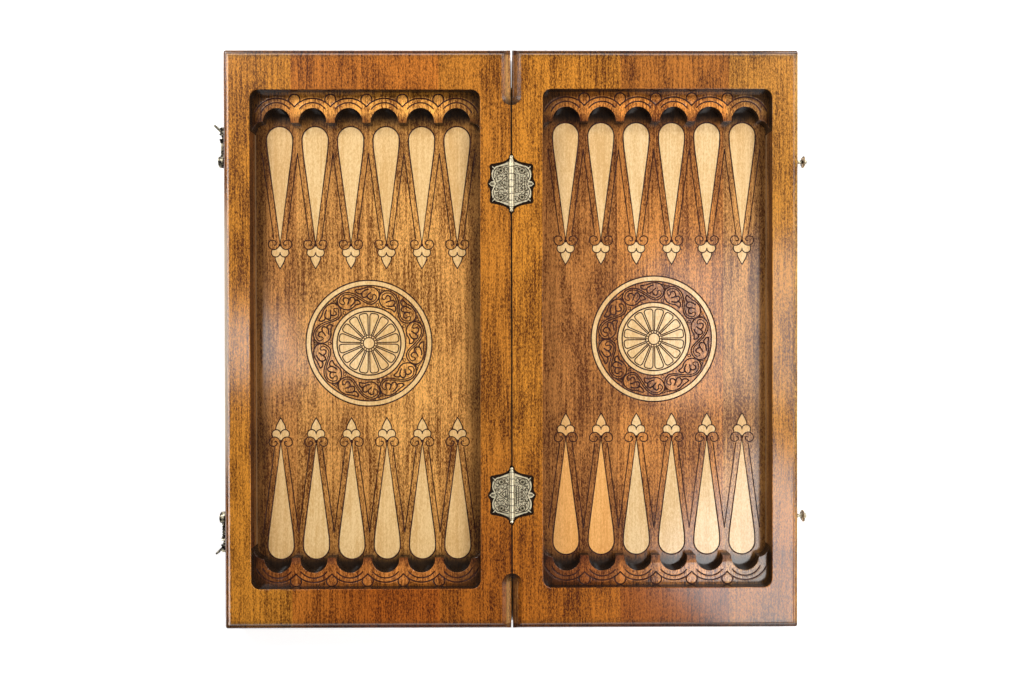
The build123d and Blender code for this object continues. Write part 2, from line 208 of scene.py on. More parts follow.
def volute():
    """From the stem round the bottom and the outer side, over the top and into the eye."""
    points = []
    for i in range(VOLUTE_STEPS + 1):
        turned = VOLUTE_TURN * i / VOLUTE_STEPS
        shrink = max(0.0, (turned - VOLUTE_OPEN) / (VOLUTE_TURN - VOLUTE_OPEN))
        radius = VOLUTE_RADIUS * (1 - 0.08 * min(1.0, turned / VOLUTE_OPEN)) * (1 - 0.9 * shrink ** 0.85)
        angle = math.radians(180.0 + turned)
        drift = VOLUTE_DRIFT * shrink
        points.append((VOLUTE[0] + radius * math.cos(angle) - drift, VOLUTE[1] + radius * math.sin(angle)))
    return points


def lobe():
    return arc(LOBE[0], LOBE[1], LOBE_RADIUS, 32, -180)


def leaf_side():
    return spline([(4.9, 91.7), LEAF_SIDE, (4.1, 86.2), (2.1, 82.4), (0.0, LEAF_TIP_V)], 4)


DROP = drop_outline()
LEAF = leaf_side()
LEAF_POLYGON = [(0.0, LEAF_BASE_V)] + LEAF + mirrored(LEAF)[::-1]


def point_lines():
    lines = [Line(DROP, closed=True), Line([(0, TIP_V), (0, STEM_END_V)])]
    for half in ([OUTER_FLANK_TOP, OUTER_FLANK_END], volute(), lobe(), LEAF):
        lines.append(Line(half, FINE_HALF))
        lines.append(Line(mirrored(half), FINE_HALF))
    return lines


def point_is_pale(u, v):
    u = abs(u)
    if v > TIP_V:
        return u < HEAD_RADIUS and inside(u, v, DROP)
    off_volute = math.hypot(u - VOLUTE[0], v - VOLUTE[1]) > VOLUTE_RADIUS
    in_lobe = math.hypot(u - LOBE[0], v - LOBE[1]) < LOBE_RADIUS
    if off_volute and v < STEM_END_V and (in_lobe or (u < LOBE[0] + FORK_REACH and v > LOBE[1])):
        return True
    return v < LEAF_BASE_V and not in_lobe and inside(u, v, LEAF_POLYGON)


# The rosette

RING_LINES = (66.7, 61.2, 38.7, 33.8)
PETALS = 16
PETAL_END = 31.9
PETAL_START = 8.7
PETAL_GAP = (0.75, 1.05)
PETAL_CORNER = 3.6
PETAL_FLAT = 0.45
HUB_RADIUS = 6.0
BEAD_RADIUS = 7.6
BEAD_HALF = 0.6
BEAD_REACH = (-0.6, 0.5)
BAND_RADIUS = 50.4
SCROLLS = 7
SCROLL_MIDDLE = 103.2
SCROLL_CENTRE = 13.2
SCROLL_RADIUS = 9.2
STEM_HALF = 0.95
STEM_SWING = 8.0
LOBE_HALF = 0.8
BUD_HALF = 0.4
VINE_BEAD = (-8.9, 1.7)
BUD_OUTLINE = ((-3.6, 8.4), (-1.2, 7.0), (0.0, 3.6), (1.2, 7.0), (3.6, 8.4), (0.0, 7.4))


def polar(radius, degrees):
    angle = math.radians(degrees)
    return (radius * math.cos(angle), radius * math.sin(angle))


def petal(middle):
    half = []
    for run, gap in zip((PETAL_START, PETAL_END - PETAL_CORNER), PETAL_GAP):
        x, y = polar(run, middle - 180.0 / PETALS)
        nx, ny = polar(gap, middle - 180.0 / PETALS + 90.0)
        half.append((x + nx, y + ny))
    edge = math.degrees(math.atan2(half[1][1], half[1][0])) - middle
    edge = (edge + 180.0) % 360.0 - 180.0
    for turned in (25.0, 50.0, 70.0, 90.0):
        turned = math.radians(turned)
        share = PETAL_FLAT + (1 - PETAL_FLAT) * math.cos(turned)
        half.append(polar(PETAL_END - PETAL_CORNER * (1 - math.sin(turned)), middle + edge * share))
    angle = 2 * math.radians(middle)
    c, s = math.cos(angle), math.sin(angle)
    other = [(c * x + s * y, s * x - c * y) for x, y in half]
    return half + [polar(PETAL_END, middle)] + other[::-1]


def scroll_half():
    """Half of one S-scroll of the vine, in the band's own run and height, from its middle."""
    def stem(offset):
        points = []
        for i in range(9):
            run = SCROLL_CENTRE * i / 8
            turned = math.pi * run / (2 * SCROLL_CENTRE)
            height = -STEM_SWING * math.sin(turned)
            slope = -STEM_SWING * math.pi / (2 * SCROLL_CENTRE) * math.cos(turned)
            length = math.hypot(1, slope)
            points.append((run - offset * slope / length, height + offset / length))
        return points

    tip = (-0.9, 7.7)
    outer = stem(-STEM_HALF) + arc(SCROLL_CENTRE, 0, SCROLL_RADIUS, -82, 90)
    outer += spline([(SCROLL_CENTRE, SCROLL_RADIUS), (9.6, 9.0), (4.9, 7.6), tip], 4)[1:]
    curl = [(14.2, -6.9), (17.6, -5.3), (19.9, -1.7), (17.6, 1.6), (15.7, 0.2), (15.9, -2.2)]
    inner = stem(STEM_HALF) + spline(curl, 5)
    lobes = (
        [(13.5, 3.5), (10.2, 0.2), (11.1, -2.8), (14.0, -4.1), (15.9, -2.4)],
        [(11.3, 6.7), (7.6, 5.6), (4.7, 3.4), (4.6, -0.6), (7.2, -1.7), (9.2, -0.4)],
        [tip, (-0.3, 4.7), (2.6, 2.7), (4.6, 3.4)],
    )
    return [Line(outer), Line(inner, FINE_HALF)] + [Line(spline(p, 5), LOBE_HALF) for p in lobes]


def rosette_lines():
    lines = [Line(circle(0, 0, r), closed=True) for r in RING_LINES]
    lines += [Line(petal((k + 0.5) * 360.0 / PETALS), FINE_HALF, closed=True) for k in range(PETALS)]
    lines.append(Line(circle(0, 0, HUB_RADIUS), FINE_HALF, closed=True))
    for k in range(PETALS):
        ends = [polar(BEAD_RADIUS + reach, k * 360.0 / PETALS) for reach in BEAD_REACH]
        lines.append(Line(ends, BEAD_HALF))
    half = scroll_half()
    for k in range(SCROLLS):
        middle = SCROLL_MIDDLE + k * 360.0 / SCROLLS

        def bend(run, height, middle=middle):
            return polar(BAND_RADIUS + height, middle - math.degrees(run / BAND_RADIUS))

        def turned(run, height, middle=middle):
            return bend(-run, -height, middle)

        for line in half:
            lines += [line.moved(bend), line.moved(turned)]
        joint = BAND_RADIUS * math.pi / SCROLLS
        bead = Line(circle(joint, *VINE_BEAD, 0.9), BUD_HALF, closed=True)
        bud = Line(spline([(joint + run, rise) for run, rise in BUD_OUTLINE], 3), BUD_HALF, closed=True)
        lines += [bead.moved(bend), bud.moved(bend)]
    return lines


def rosette_is_pale(radius):
    return RING_LINES[1] < radius < RING_LINES[0] or radius < RING_LINES[2]


# The shelf over each arch

OUTER_ARC = 24.3
OUTER_ARC_V = 228.7
INNER_ARC = 17.2
INNER_ARC_V = 231.3
INNER_ARC_SPAN = 52.0
END_SPAN = 67.0
OUTER_TRIM = 3.0
INNER_TRIM = 5.0
BUD_V = 251.6
BUD_RADIUS = 5.75
BUD_OPEN = 36.0
BUD_GLINT = 70.0
STRIP_V = 238.2


# A painted highlight line, in the lighter stain, beside a line of the arcade
def highlight_line(points):
    return Line(points, SHOULDER_HALF, SHOULDER_DEPTH, kind=STAIN)


def arcade_lines():
    lines = []
    valley = math.degrees(math.asin(PITCH / 2 / OUTER_ARC))
    for k in range(POINTS):
        u = column(k)
        for v, radius, span, trim in (
            (OUTER_ARC_V, OUTER_ARC, valley, OUTER_TRIM),
            (INNER_ARC_V, INNER_ARC, INNER_ARC_SPAN, INNER_TRIM),
        ):
            left = END_SPAN if k == 0 else span
            right = END_SPAN if k == POINTS - 1 else span
            lines.append(Line(arc(u, v, radius, 90 + left, 90 - right)))
            lines.append(highlight_line(arc(u, v, radius + SHOULDER_OFF, 90 - trim + left, 90 + trim - right)))
        if k < POINTS - 1:
            u += PITCH / 2
            lines.append(Line(arc(u, BUD_V, BUD_RADIUS, -BUD_OPEN, 180 + BUD_OPEN)))
            for way in (0, 180):
                start, stop = way + BUD_GLINT - 90, way + 90 - BUD_GLINT
                lines.append(highlight_line(arc(u, BUD_V, BUD_RADIUS + SHOULDER_OFF, start, stop)))
    return lines


def shelf_kind(side):
    """The ground past the outer arcs and round the buds took more stain."""
    def kind(x, y):
        u = x - side * TRAY_CENTRE
        v = abs(y - ARCADE_SHIFT[side])
        k = min(POINTS - 1, max(0, math.floor(u / PITCH + POINTS / 2)))
        off = u - column(k)
        if v < STRIP_V:
            beyond = OUTER_ARC * math.sin(math.radians(END_SPAN))
            return SHADE if abs(off) > beyond else STAIN
        if math.hypot(off, v - OUTER_ARC_V) < OUTER_ARC:
            return STAIN
        bud = round(u / PITCH)
        if abs(bud) < POINTS / 2:
            du = abs(u - bud * PITCH)
            if math.hypot(du, v - BUD_V) < BUD_RADIUS:
                return STAIN
            if v < BUD_V and du < BUD_RADIUS * math.cos(math.radians(BUD_OPEN)):
                return STAIN
        return SHADE
    return kind


# The chessboard on the outer faces

SQUARE = 60.0
SQUARES = 4
FRAME_GAPS = (3.0, 6.5)
SEAM_OVERRUN = 2.0


def chess_lines(side):
    lines = []
    start = side * (SEAM_FACE - SEAM_OVERRUN)
    reach = SQUARE * SQUARES
    for k in range(1, SQUARES + 1):
        x = side * (k * SQUARE)
        lines.append(Line([(x, -reach), (x, reach)]))
    for k in range(-SQUARES, SQUARES + 1):
        lines.append(Line([(start, k * SQUARE), (side * reach, k * SQUARE)]))
    for gap in FRAME_GAPS:
        far = reach + gap
        lines.append(Line([(start, -far), (side * far, -far), (side * far, far), (start, far)]))
    return lines


def chess_kind(x, y):
    if abs(x) > SQUARE * SQUARES or abs(y) > SQUARE * SQUARES:
        return STAIN
    column = math.floor(x / SQUARE)
    row = math.floor(y / SQUARE)
    return BARE if (column + row) % 2 == 0 else STAIN


# All the lines of one half, floor and shelves, in the board's frame

def half_lines(side):
    floor_lines = []
    shelf_lines = []

    def moved(lines, start, end, shift):
        return [line.moved(lambda u, v: (side * TRAY_CENTRE + start + u, end * v + shift)) for line in lines]

    for end in (1, -1):
        for k in range(POINTS):
            floor_lines += moved(point_lines(), column(k), end, FLOOR_SHIFT[side])
        shelf_lines += moved(arcade_lines(), 0.0, end, ARCADE_SHIFT[side])
    floor_lines += moved(rosette_lines(), 0.0, 1, FLOOR_SHIFT[side])
    return floor_lines, shelf_lines


def floor_kind(side):
    def is_bare(x, y):
        u = x - side * TRAY_CENTRE
        v = y - FLOOR_SHIFT[side]
        radius = math.hypot(u, v)
        if radius < RING_LINES[0]:
            return rosette_is_pale(radius)
        if abs(v) < LEAF_TIP_V or abs(u) > POINTS / 2 * PITCH:
            return False
        k = math.floor(u / PITCH + POINTS / 2)
        return point_is_pale(u - column(k), abs(v))
    return lambda x, y: BARE if is_bare(x, y) else STAIN


# The relief of the hinge leaves: reach from the pin, and place along it from the middle

RELIEF_HALF = 0.5
RELIEF_DEPTH = 0.45
SCREW_PLACE = (10.9, 13.7)
SCREW_RING = 3.0


def both_ends(points):
    return points, [(r, -t) for r, t in points]


def leaf_lines(side, centre_y):
    border = [(3.7, 19.2), (7.8, 18.2), (12.4, 17.3), (15.2, 16.0), (16.9, 14.4), (17.8, 12.4),
              (18.7, 9.1), (18.1, 6.2), (16.7, 3.6)]
    curls = [
        spline(border, 3),
        arc(5.9, 15.6, 1.7, -60, 210, 0.8),
        arc(15.0, 10.6, 1.8, 60, 330, 0.8),
        arc(15.4, 5.6, 1.5, -30, 240, 0.8),
        arc(*SCREW_PLACE, SCREW_RING, 20, 380, 0.9)[:-1],
        [(17.9, 0.75), (21.4, 0.5)],
        [(15.2, 0.5), (16.6, 2.4)],
        [(18.2, 14.4), (18.9, 16.4)],
    ]
    runs = [end for curl in curls for end in both_ends(curl)]
    if side < 0:
        runs += both_ends(arc(6.0, 11.0, 1.6, 30, 300, 0.8))
        runs.append([(13.2, 1.0), (5.0, 8.3), (4.5, -5.9), (13.2, 1.0)])
        runs.append([(10.4, 0.9), (6.7, 4.2), (6.4, -2.3), (10.4, 0.9)])
        runs += [[(12.0, 7.4), (9.4, 7.0), (8.6, 8.4)], [(12.6, -6.6), (9.6, -5.4), (8.0, -7.6)]]
    else:
        for row in (4.9, 1.3, -2.3, -5.9):
            runs.append(arc(10.4, row, 1.3, 215, 500, 0.8))
            runs.append([(13.3, row + 1.5), (13.9, row + 0.2), (13.3, row - 0.9)])
        runs += [[(4.5, 9.5), (4.5, -9.5)], [(6.9, 8.9), (6.9, -8.9)]]
    return [Line([(side * r, centre_y + t) for r, t in run], RELIEF_HALF, RELIEF_DEPTH) for run in runs]


# Carving lines into the flat faces of a mesh. The limits are in millimetres, and the weld in metres

TINY = 1e-9
SHORTEST = 1e-6
REACH_MARGIN = 0.1
FIND_MARGIN = 0.8
LEVEL_GAP = 0.004
BORDER_GAP = 0.01
SHALLOWEST = 1e-3
MERGE_GAP = 1e-4
WELD = 2e-6


def sides_of(points, half, closed):
    """The centre's two edges, each a list beside the points."""
    left = []
    right = []
    count = len(points)
    for i, (x, y) in enumerate(points):
        before = points[i - 1] if i or closed else points[0]
        after = points[(i + 1) % count] if i < count - 1 or closed else points[-1]
        ax, ay = x - before[0], y - before[1]
        bx, by = after[0] - x, after[1] - y
        la, lb = math.hypot(ax, ay), math.hypot(bx, by)
        na = (-ay / la, ax / la) if la > TINY else None
        nb = (-by / lb, bx / lb) if lb > TINY else na
        na = na or nb
        mx, my = na[0] + nb[0], na[1] + nb[1]
        size = math.hypot(mx, my)
        if size < SHORTEST:
            mx, my, size = na[0], na[1], 1.0
        mx, my = mx / size, my / size
        reach = half / max(0.5, mx * na[0] + my * na[1])
        left.append((x + mx * reach, y + my * reach))
        right.append((x - mx * reach, y - my * reach))
    return left, right


class Groundwork:
    """The lines near one flat region, with quick distances to them."""

    def __init__(self, lines, low, high):
        self.lines = []
        for line in lines:
            first, last = box_of(line.points)
            margin = line.half + REACH_MARGIN
            if all(last[n] + margin >= low[n] and first[n] - margin <= high[n] for n in (0, 1)):
                self.lines.append(line)
        self.spans = []
        places = []
        self.widest = max([line.half for line in self.lines], default=0.0)
        for line in self.lines:
            ring = line.points + line.points[:1] if line.closed else line.points
            for a, b in zip(ring, ring[1:]):
                length = math.dist(a, b)
                if length < TINY:
                    continue
                self.spans.append((a, b, line))
                steps = max(1, math.ceil(length))
                for i in range(steps):
                    t = (i + 0.5) / steps
                    places.append((a[0] + (b[0] - a[0]) * t, a[1] + (b[1] - a[1]) * t, len(self.spans) - 1))
        self.tree = kdtree.KDTree(max(1, len(places)))
        self.owner = [p[2] for p in places]
        for i, (x, y, _) in enumerate(places):
            self.tree.insert((x, y, 0), i)
        self.tree.balance()

    def under(self, x, y):
        """How far the surface lies under the flat at this point, and what shows there."""
        deepest = 0.0
        kind = None
        for _, index, _ in self.tree.find_range((x, y, 0), self.widest + FIND_MARGIN):
            a, b, line = self.spans[self.owner[index]]
            t = min(1.0, max(0.0, foot_of((x, y), a, b)))
            depth = line.depth * (1 - away_from((x, y), a, b, t) / line.half)
            if depth > deepest:
                deepest = depth
                kind = line.kind
        return deepest, kind

    def edges(self):
        """Every point and edge that the triangles have to follow."""
        points = []
        edges = []

        def run(chain, closed):
            first = len(points)
            points.extend(chain)
            edges.extend((first + i, first + i + 1) for i in range(len(chain) - 1))
            if closed:
                edges.append((first + len(chain) - 1, first))
            return first

        for line in self.lines:
            left, right = sides_of(line.points, line.half, line.closed)
            run(line.points, line.closed)
            a = run(left, line.closed)
            b = run(right, line.closed)
            if line.closed:
                continue
            for end, near in ((0, 1), (-1, -2)):
                ex, ey = line.points[end]
                nx, ny = line.points[near]
                length = math.hypot(ex - nx, ey - ny)
                points.append((ex + (ex - nx) / length * line.half, ey + (ey - ny) / length * line.half))
                index = end % len(line.points)
                edges.append((a + index, len(points) - 1))
                edges.append((len(points) - 1, b + index))
        return points, edges


def loops_of(edges):
    """Ordered loops of vertices round a set of edges."""
    links = {}
    for edge in edges:
        v, w = edge.verts
        links.setdefault(v, []).append(w)
        links.setdefault(w, []).append(v)
    loops = []
    seen = set()
    for start in links:
        if start in seen:
            continue
        loop = [start]
        seen.add(start)
        step = links[start][0]
        while step not in seen:
            loop.append(step)
            seen.add(step)
            step = next((w for w in links[step] if w not in seen), start)
        loops.append(loop)
    return loops


def regions_of(faces):
    faces = set(faces)
    while faces:
        start = faces.pop()
        region = {start}
        todo = [start]
        while todo:
            face = todo.pop()
            for edge in face.edges:
                for other in edge.link_faces:
                    if other in faces:
                        faces.discard(other)
                        region.add(other)
                        todo.append(other)
        yield region


def signed_area(points):
    return sum(a[0] * b[1] - b[0] * a[1] for a, b in pairs(points)) / 2


def carve_region(bm, region, lines, level, up, kind):
    """Replaces one flat region by triangles that follow the carved lines."""
    border = [e for f in region for e in f.edges if sum(g in region for g in e.link_faces) == 1]
    loops = loops_of(set(border))
    rings = [[(v.co.x / MM, v.co.y / MM) for v in loop] for loop in loops]
    areas = [abs(signed_area(ring)) for ring in rings]
    outer = areas.index(max(areas))
    ground = Groundwork(lines, *box_of(rings[outer]))
    if not ground.lines:
        return
    points = []
    owners = []
    faces = []
    edges = []
    for number, (loop, ring) in enumerate(zip(loops, rings)):
        if number == outer and signed_area(ring) < 0:
            loop, ring = loop[::-1], ring[::-1]
        first = len(points)
        points.extend(ring)
        owners.extend(loop)
        chain = list(range(first, len(points)))
        if number == outer:
            faces.append(chain)
        else:
            edges.extend(pairs(chain))
    holes = [ring for number, ring in enumerate(rings) if number != outer]
    known = len(points)
    more, more_edges = ground.edges()
    points.extend(more)
    edges.extend((a + known, b + known) for a, b in more_edges)
    made = geometry.delaunay_2d_cdt([Vector(p) for p in points], edges, faces, 0, MERGE_GAP, True)
    coords, _, triangles, from_verts, _, from_faces = made
    kept = []
    for triangle, source in zip(triangles, from_faces):
        if not source:
            continue
        cx = sum(coords[i][0] for i in triangle) / len(triangle)
        cy = sum(coords[i][1] for i in triangle) / len(triangle)
        if any(inside(cx, cy, hole) for hole in holes):
            continue
        kept.append((triangle, cx, cy))
    bmesh.ops.delete(bm, geom=list(region), context="FACES_ONLY")
    vertex = {}
    for i, source in enumerate(from_verts):
        old = [s for s in source if s < known]
        if old:
            vertex[i] = owners[old[0]]
    used = {i for triangle, _, _ in kept for i in triangle}
    counts = {}
    for triangle, _, _ in kept:
        for a, b in pairs(triangle):
            key = (min(a, b), max(a, b))
            counts[key] = counts.get(key, 0) + 1
    on_border = {i for key, n in counts.items() if n == 1 for i in key if i not in vertex}
    split_border(loops, on_border, coords, vertex)
    for i in used:
        if i not in vertex:
            vertex[i] = bm.verts.new((coords[i][0] * MM, coords[i][1] * MM, level * MM))
    for triangle, cx, cy in kept:
        corners = [vertex[i] for i in triangle]
        if len(set(corners)) < len(corners):
            continue
        flat = [(coords[i][0], coords[i][1]) for i in triangle]
        if (signed_area(flat) > 0) != (up > 0):
            corners.reverse()
        try:
            face = bm.faces.new(corners)
        except ValueError:
            continue
        depth, carved = ground.under(cx, cy)
        face.material_index = carved if depth > SHALLOWEST else kind(cx, cy)
    for i in used:
        drop, _ = ground.under(coords[i][0], coords[i][1])
        if drop > 0:
            vertex[i].co.z = (level - up * drop) * MM


def split_border(loops, on_border, coords, vertex):
    """Adds to the region's border the points where carved lines cross it."""
    spots = {}
    for i in on_border:
        best = None
        for loop in loops:
            for v, w in pairs(loop):
                a = (v.co.x / MM, v.co.y / MM)
                b = (w.co.x / MM, w.co.y / MM)
                if math.dist(a, b) < SHORTEST:
                    continue
                t = foot_of(coords[i], a, b)
                if not 0 <= t <= 1:
                    continue
                off = away_from(coords[i], a, b, t)
                if best is None or off < best[0]:
                    best = (off, v, w, t)
        if best and best[0] < BORDER_GAP:
            spots.setdefault((best[1], best[2]), []).append((best[3], i))
    for (v, w), found in spots.items():
        done = 0.0
        near = v
        for t, i in sorted(found):
            edge = next((e for e in near.link_edges if e.other_vert(near) is w), None)
            if edge is None:
                break
            _, fresh = bmesh.utils.edge_split(edge, near, (t - done) / (1 - done))
            vertex[i] = fresh
            near = fresh
            done = t


# How corner normals are shared between neighbouring faces
SMOOTH_ANGLE = 28.0
EASED_ANGLE = 60.0
LEVEL_Z = 0.9999
UPRIGHT_Z = 0.02
BEVEL_WIDTH = 1.6
NO_AREA = 1e-12


def eased_normals(mesh):
    """Corner normals that turn evenly over small bevels and keep the flats beside them flat."""
    normals = [face.normal.copy() for face in mesh.polygons]
    at_vertex = [[] for _ in mesh.vertices]
    for face in mesh.polygons:
        for v in face.vertices:
            at_vertex[v].append(face.index)
    smooth = math.cos(math.radians(SMOOTH_ANGLE))
    eased = math.cos(math.radians(EASED_ANGLE))

    def class_of(normal):
        if abs(normal.z) > LEVEL_Z:
            return "level"
        return "upright" if abs(normal.z) < UPRIGHT_Z else "sloped"

    def width_of(face):
        ring = [mesh.vertices[v].co for v in face.vertices]
        longest = max((a - b).length for a, b in pairs(ring))
        return 2 * face.area / max(longest, TINY) / MM

    classes = [class_of(normal) for normal in normals]
    broad = [width_of(face) > BEVEL_WIDTH for face in mesh.polygons]

    def blend(face, v, kind, limit):
        total = Vector((0, 0, 0))
        for other in at_vertex[v]:
            if classes[other] == kind and normals[other].dot(normals[face]) > limit:
                total += normals[other] * mesh.polygons[other].area
        return total.normalized() if total.length > NO_AREA else None

    corners = []
    for face in mesh.polygons:
        own = classes[face.index]
        for v in face.vertices:
            found = None
            if own == "level":
                found = normals[face.index]
            elif own == "upright":
                found = blend(face.index, v, "upright", smooth)
            elif not broad[face.index]:
                found = blend(face.index, v, "level", eased) or blend(face.index, v, "upright", eased)
                found = found or blend(face.index, v, "sloped", smooth)
            corners.append(found or normals[face.index])
    mesh.normals_split_custom_set(corners)


def in_cove(face):
    place = face.calc_center_median() / MM
    return abs(place.x) < COVE_HALF and COVE_FLOOR < place.z < RIM - 0.1 and abs(place.y) > COVE_STOP[0]


def carved_copy(node, name, body, jobs, materials):
    """A copy of a node's mesh with lines carved into its flat faces. It stands for the node."""
    bm = bmesh.new()
    bm.from_mesh(frame["nodes"][node].data)
    for face in bm.faces:
        face.material_index = COVE if in_cove(face) else STAIN
        face.smooth = True
    bmesh.ops.remove_doubles(bm, verts=bm.verts, dist=WELD)
    for level, up, lines, kind in jobs:
        bm.normal_update()
        faces = [
            f for f in bm.faces
            if f.normal.z * up > LEVEL_Z and all(abs(v.co.z / MM - level) < LEVEL_GAP for v in f.verts)
        ]
        for region in list(regions_of(faces)):
            carve_region(bm, region, lines, level, up, kind)
    finish_piece(bm, name, body, node, materials)


def placed(name, data):
    """A new object of the scene."""
    obj = bpy.data.objects.new(name, data)
    bpy.context.scene.collection.objects.link(obj)
    return obj


def finish_piece(bm, name, body, node, materials):
    bm.normal_update()
    for face in bm.faces:
        face.smooth = True
    mesh = bpy.data.meshes.new(name)
    bm.to_mesh(mesh)
    bm.free()
    eased_normals(mesh)
    for material in materials:
        mesh.materials.append(material)
    piece = placed(name, mesh)
    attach(piece, body)
    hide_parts(node)


# The hooks, whose arms are forged into a twist

HOOK_X = -301.7
HOOK_Z = 17.5
HOOK_Y = 186.0
TWIST_START = 6.7
TWIST_END = 19.5
TWIST_LAP = 0.3
TWIST_HALF = 1.9
TWIST_TURNS = 1.25
TWIST_RINGS = 40
TWIST_SIDES = 20
TWIST_SQUARE = 0.8
CUT_GAP = 1e-7


def twisted_hook(node, name, body, direction, materials):
    """The hook with a square twisted bar in place of its plain arm."""
    bm = bmesh.new()
    bm.from_mesh(frame["nodes"][node].data)
    bmesh.ops.remove_doubles(bm, verts=bm.verts, dist=WELD)
    limits = sorted(direction * (HOOK_Y + run) * MM for run in (TWIST_START, TWIST_END))
    for y in limits:
        geom = bm.verts[:] + bm.edges[:] + bm.faces[:]
        bmesh.ops.bisect_plane(bm, geom=geom, dist=CUT_GAP, plane_co=(0, y, 0), plane_no=(0, 1, 0))
    between = [f for f in bm.faces if limits[0] < f.calc_center_median().y < limits[1]]
    bmesh.ops.delete(bm, geom=between, context="FACES")
    open_edges = [e for e in bm.edges if e.is_boundary]
    bmesh.ops.holes_fill(bm, edges=open_edges)
    rings = []
    for i in range(TWIST_RINGS + 1):
        share = i / TWIST_RINGS
        run = TWIST_START - TWIST_LAP + share * (TWIST_END - TWIST_START + 2 * TWIST_LAP)
        ring = []
        for k in range(TWIST_SIDES):
            around = 2 * math.pi * k / TWIST_SIDES
            reach = TWIST_HALF / max(abs(math.cos(around)), abs(math.sin(around))) ** TWIST_SQUARE
            angle = around + 2 * math.pi * TWIST_TURNS * share
            x = HOOK_X + reach * math.cos(angle)
            z = HOOK_Z + reach * math.sin(angle)
            ring.append(bm.verts.new([p * MM for p in (x, direction * (HOOK_Y + run), z)]))
        rings.append(ring)
    for low, high in zip(rings, rings[1:]):
        for k in range(TWIST_SIDES):
            after = (k + 1) % TWIST_SIDES
            bm.faces.new((low[k], low[after], high[after], high[k]))
    bm.faces.new(rings[0][::-1])
    bm.faces.new(rings[-1])
    bmesh.ops.recalc_face_normals(bm, faces=bm.faces)
    finish_piece(bm, name, body, node, materials)


# Materials

class Nodes:
    """Small helpers to build one node tree. A value is a socket or a plain number."""

    def __init__(self, tree):
        self.tree = tree

    def node(self, kind):
        return self.tree.nodes.new(kind)

    def put(self, socket, value):
        if isinstance(value, bpy.types.NodeSocket):
            self.tree.links.new(value, socket)
        else:
            socket.default_value = value

    def math(self, operation, a, b=0.0, c=0.0, clamp=False):
        node = self.node("ShaderNodeMath")
        node.operation = operation
        node.use_clamp = clamp
        for socket, value in zip(node.inputs, (a, b, c)):
            self.put(socket, value)
        return node.outputs[0]

    def chain(self, operation, values):
        result = values[0]
        for value in values[1:]:
            result = self.math(operation, result, value)
        return result

    def times(self, *values):
        return self.chain("MULTIPLY", values)

    def larger(self, *values):
        return self.chain("MAXIMUM", values)

    def plus(self, a, b, clamp=False):
        return self.math("ADD", a, b, clamp=clamp)

    def minus(self, a, b, clamp=False):
        return self.math("SUBTRACT", a, b, clamp=clamp)

    def scaled(self, value, factor, start, clamp=False):
        return self.math("MULTIPLY_ADD", value, factor, start, clamp)

    def absolute(self, value):
        return self.math("ABSOLUTE", value)

    def above(self, value, limit):
        return self.math("GREATER_THAN", value, limit)

    def below(self, value, limit):
        return self.math("LESS_THAN", value, limit)

    def band(self, value, low, high):
        """1 where the value lies between the limits."""
        return self.times(self.above(value, low), self.below(value, high))

    def ramp(self, value, low, high, start=0.0, end=1.0, run="SMOOTHSTEP"):
        node = self.node("ShaderNodeMapRange")
        node.interpolation_type = run
        for socket, number in zip(node.inputs, (value, low, high, start, end)):
            self.put(socket, number)
        return node.outputs[0]

    def mix(self, factor, a, b, blend="MIX"):
        node = self.node("ShaderNodeMix")
        node.data_type = "RGBA"
        node.blend_type = blend
        for index, value in ((0, factor), (6, a), (7, b)):
            self.put(node.inputs[index], value)
        return node.outputs[2]

    def tint(self, factor, colour, tone):
        return self.mix(factor, colour, tone, "MULTIPLY")

    def split(self, vector):
        node = self.node("ShaderNodeSeparateXYZ")
        self.put(node.inputs[0], vector)
        return list(node.outputs)

    def joined(self, *values):
        node = self.node("ShaderNodeCombineXYZ")
        for socket, value in zip(node.inputs, values):
            self.put(socket, value)
        return node.outputs[0]

    def noise(self, sizes, place, detail=2.0, rough=0.5):
        """Noise whose lumps are as long as the sizes along each axis."""
        node = self.node("ShaderNodeTexNoise")
        vector = self.joined(*[self.math("DIVIDE", v, size) for v, size in zip(place, sizes)])
        settings = {"Vector": vector, "Scale": 1.0, "Detail": detail, "Roughness": rough, "Distortion": 0.0}
        for name, value in settings.items():
            self.put(node.inputs[name], value)
        return node.outputs["Fac"]

    def steps(self, value, stops):
        """A ramp of flat steps, one colour for each stave."""
        node = self.node("ShaderNodeValToRGB")
        node.color_ramp.interpolation = "CONSTANT"
        elements = node.color_ramp.elements
        while len(elements) > 1:
            elements.remove(elements[-1])
        elements[0].position = stops[0][0]
        elements[0].color = stops[0][1]
        for place, colour in stops[1:]:
            elements.new(place).color = colour
        self.put(node.inputs[0], value)
        return node.outputs[0]


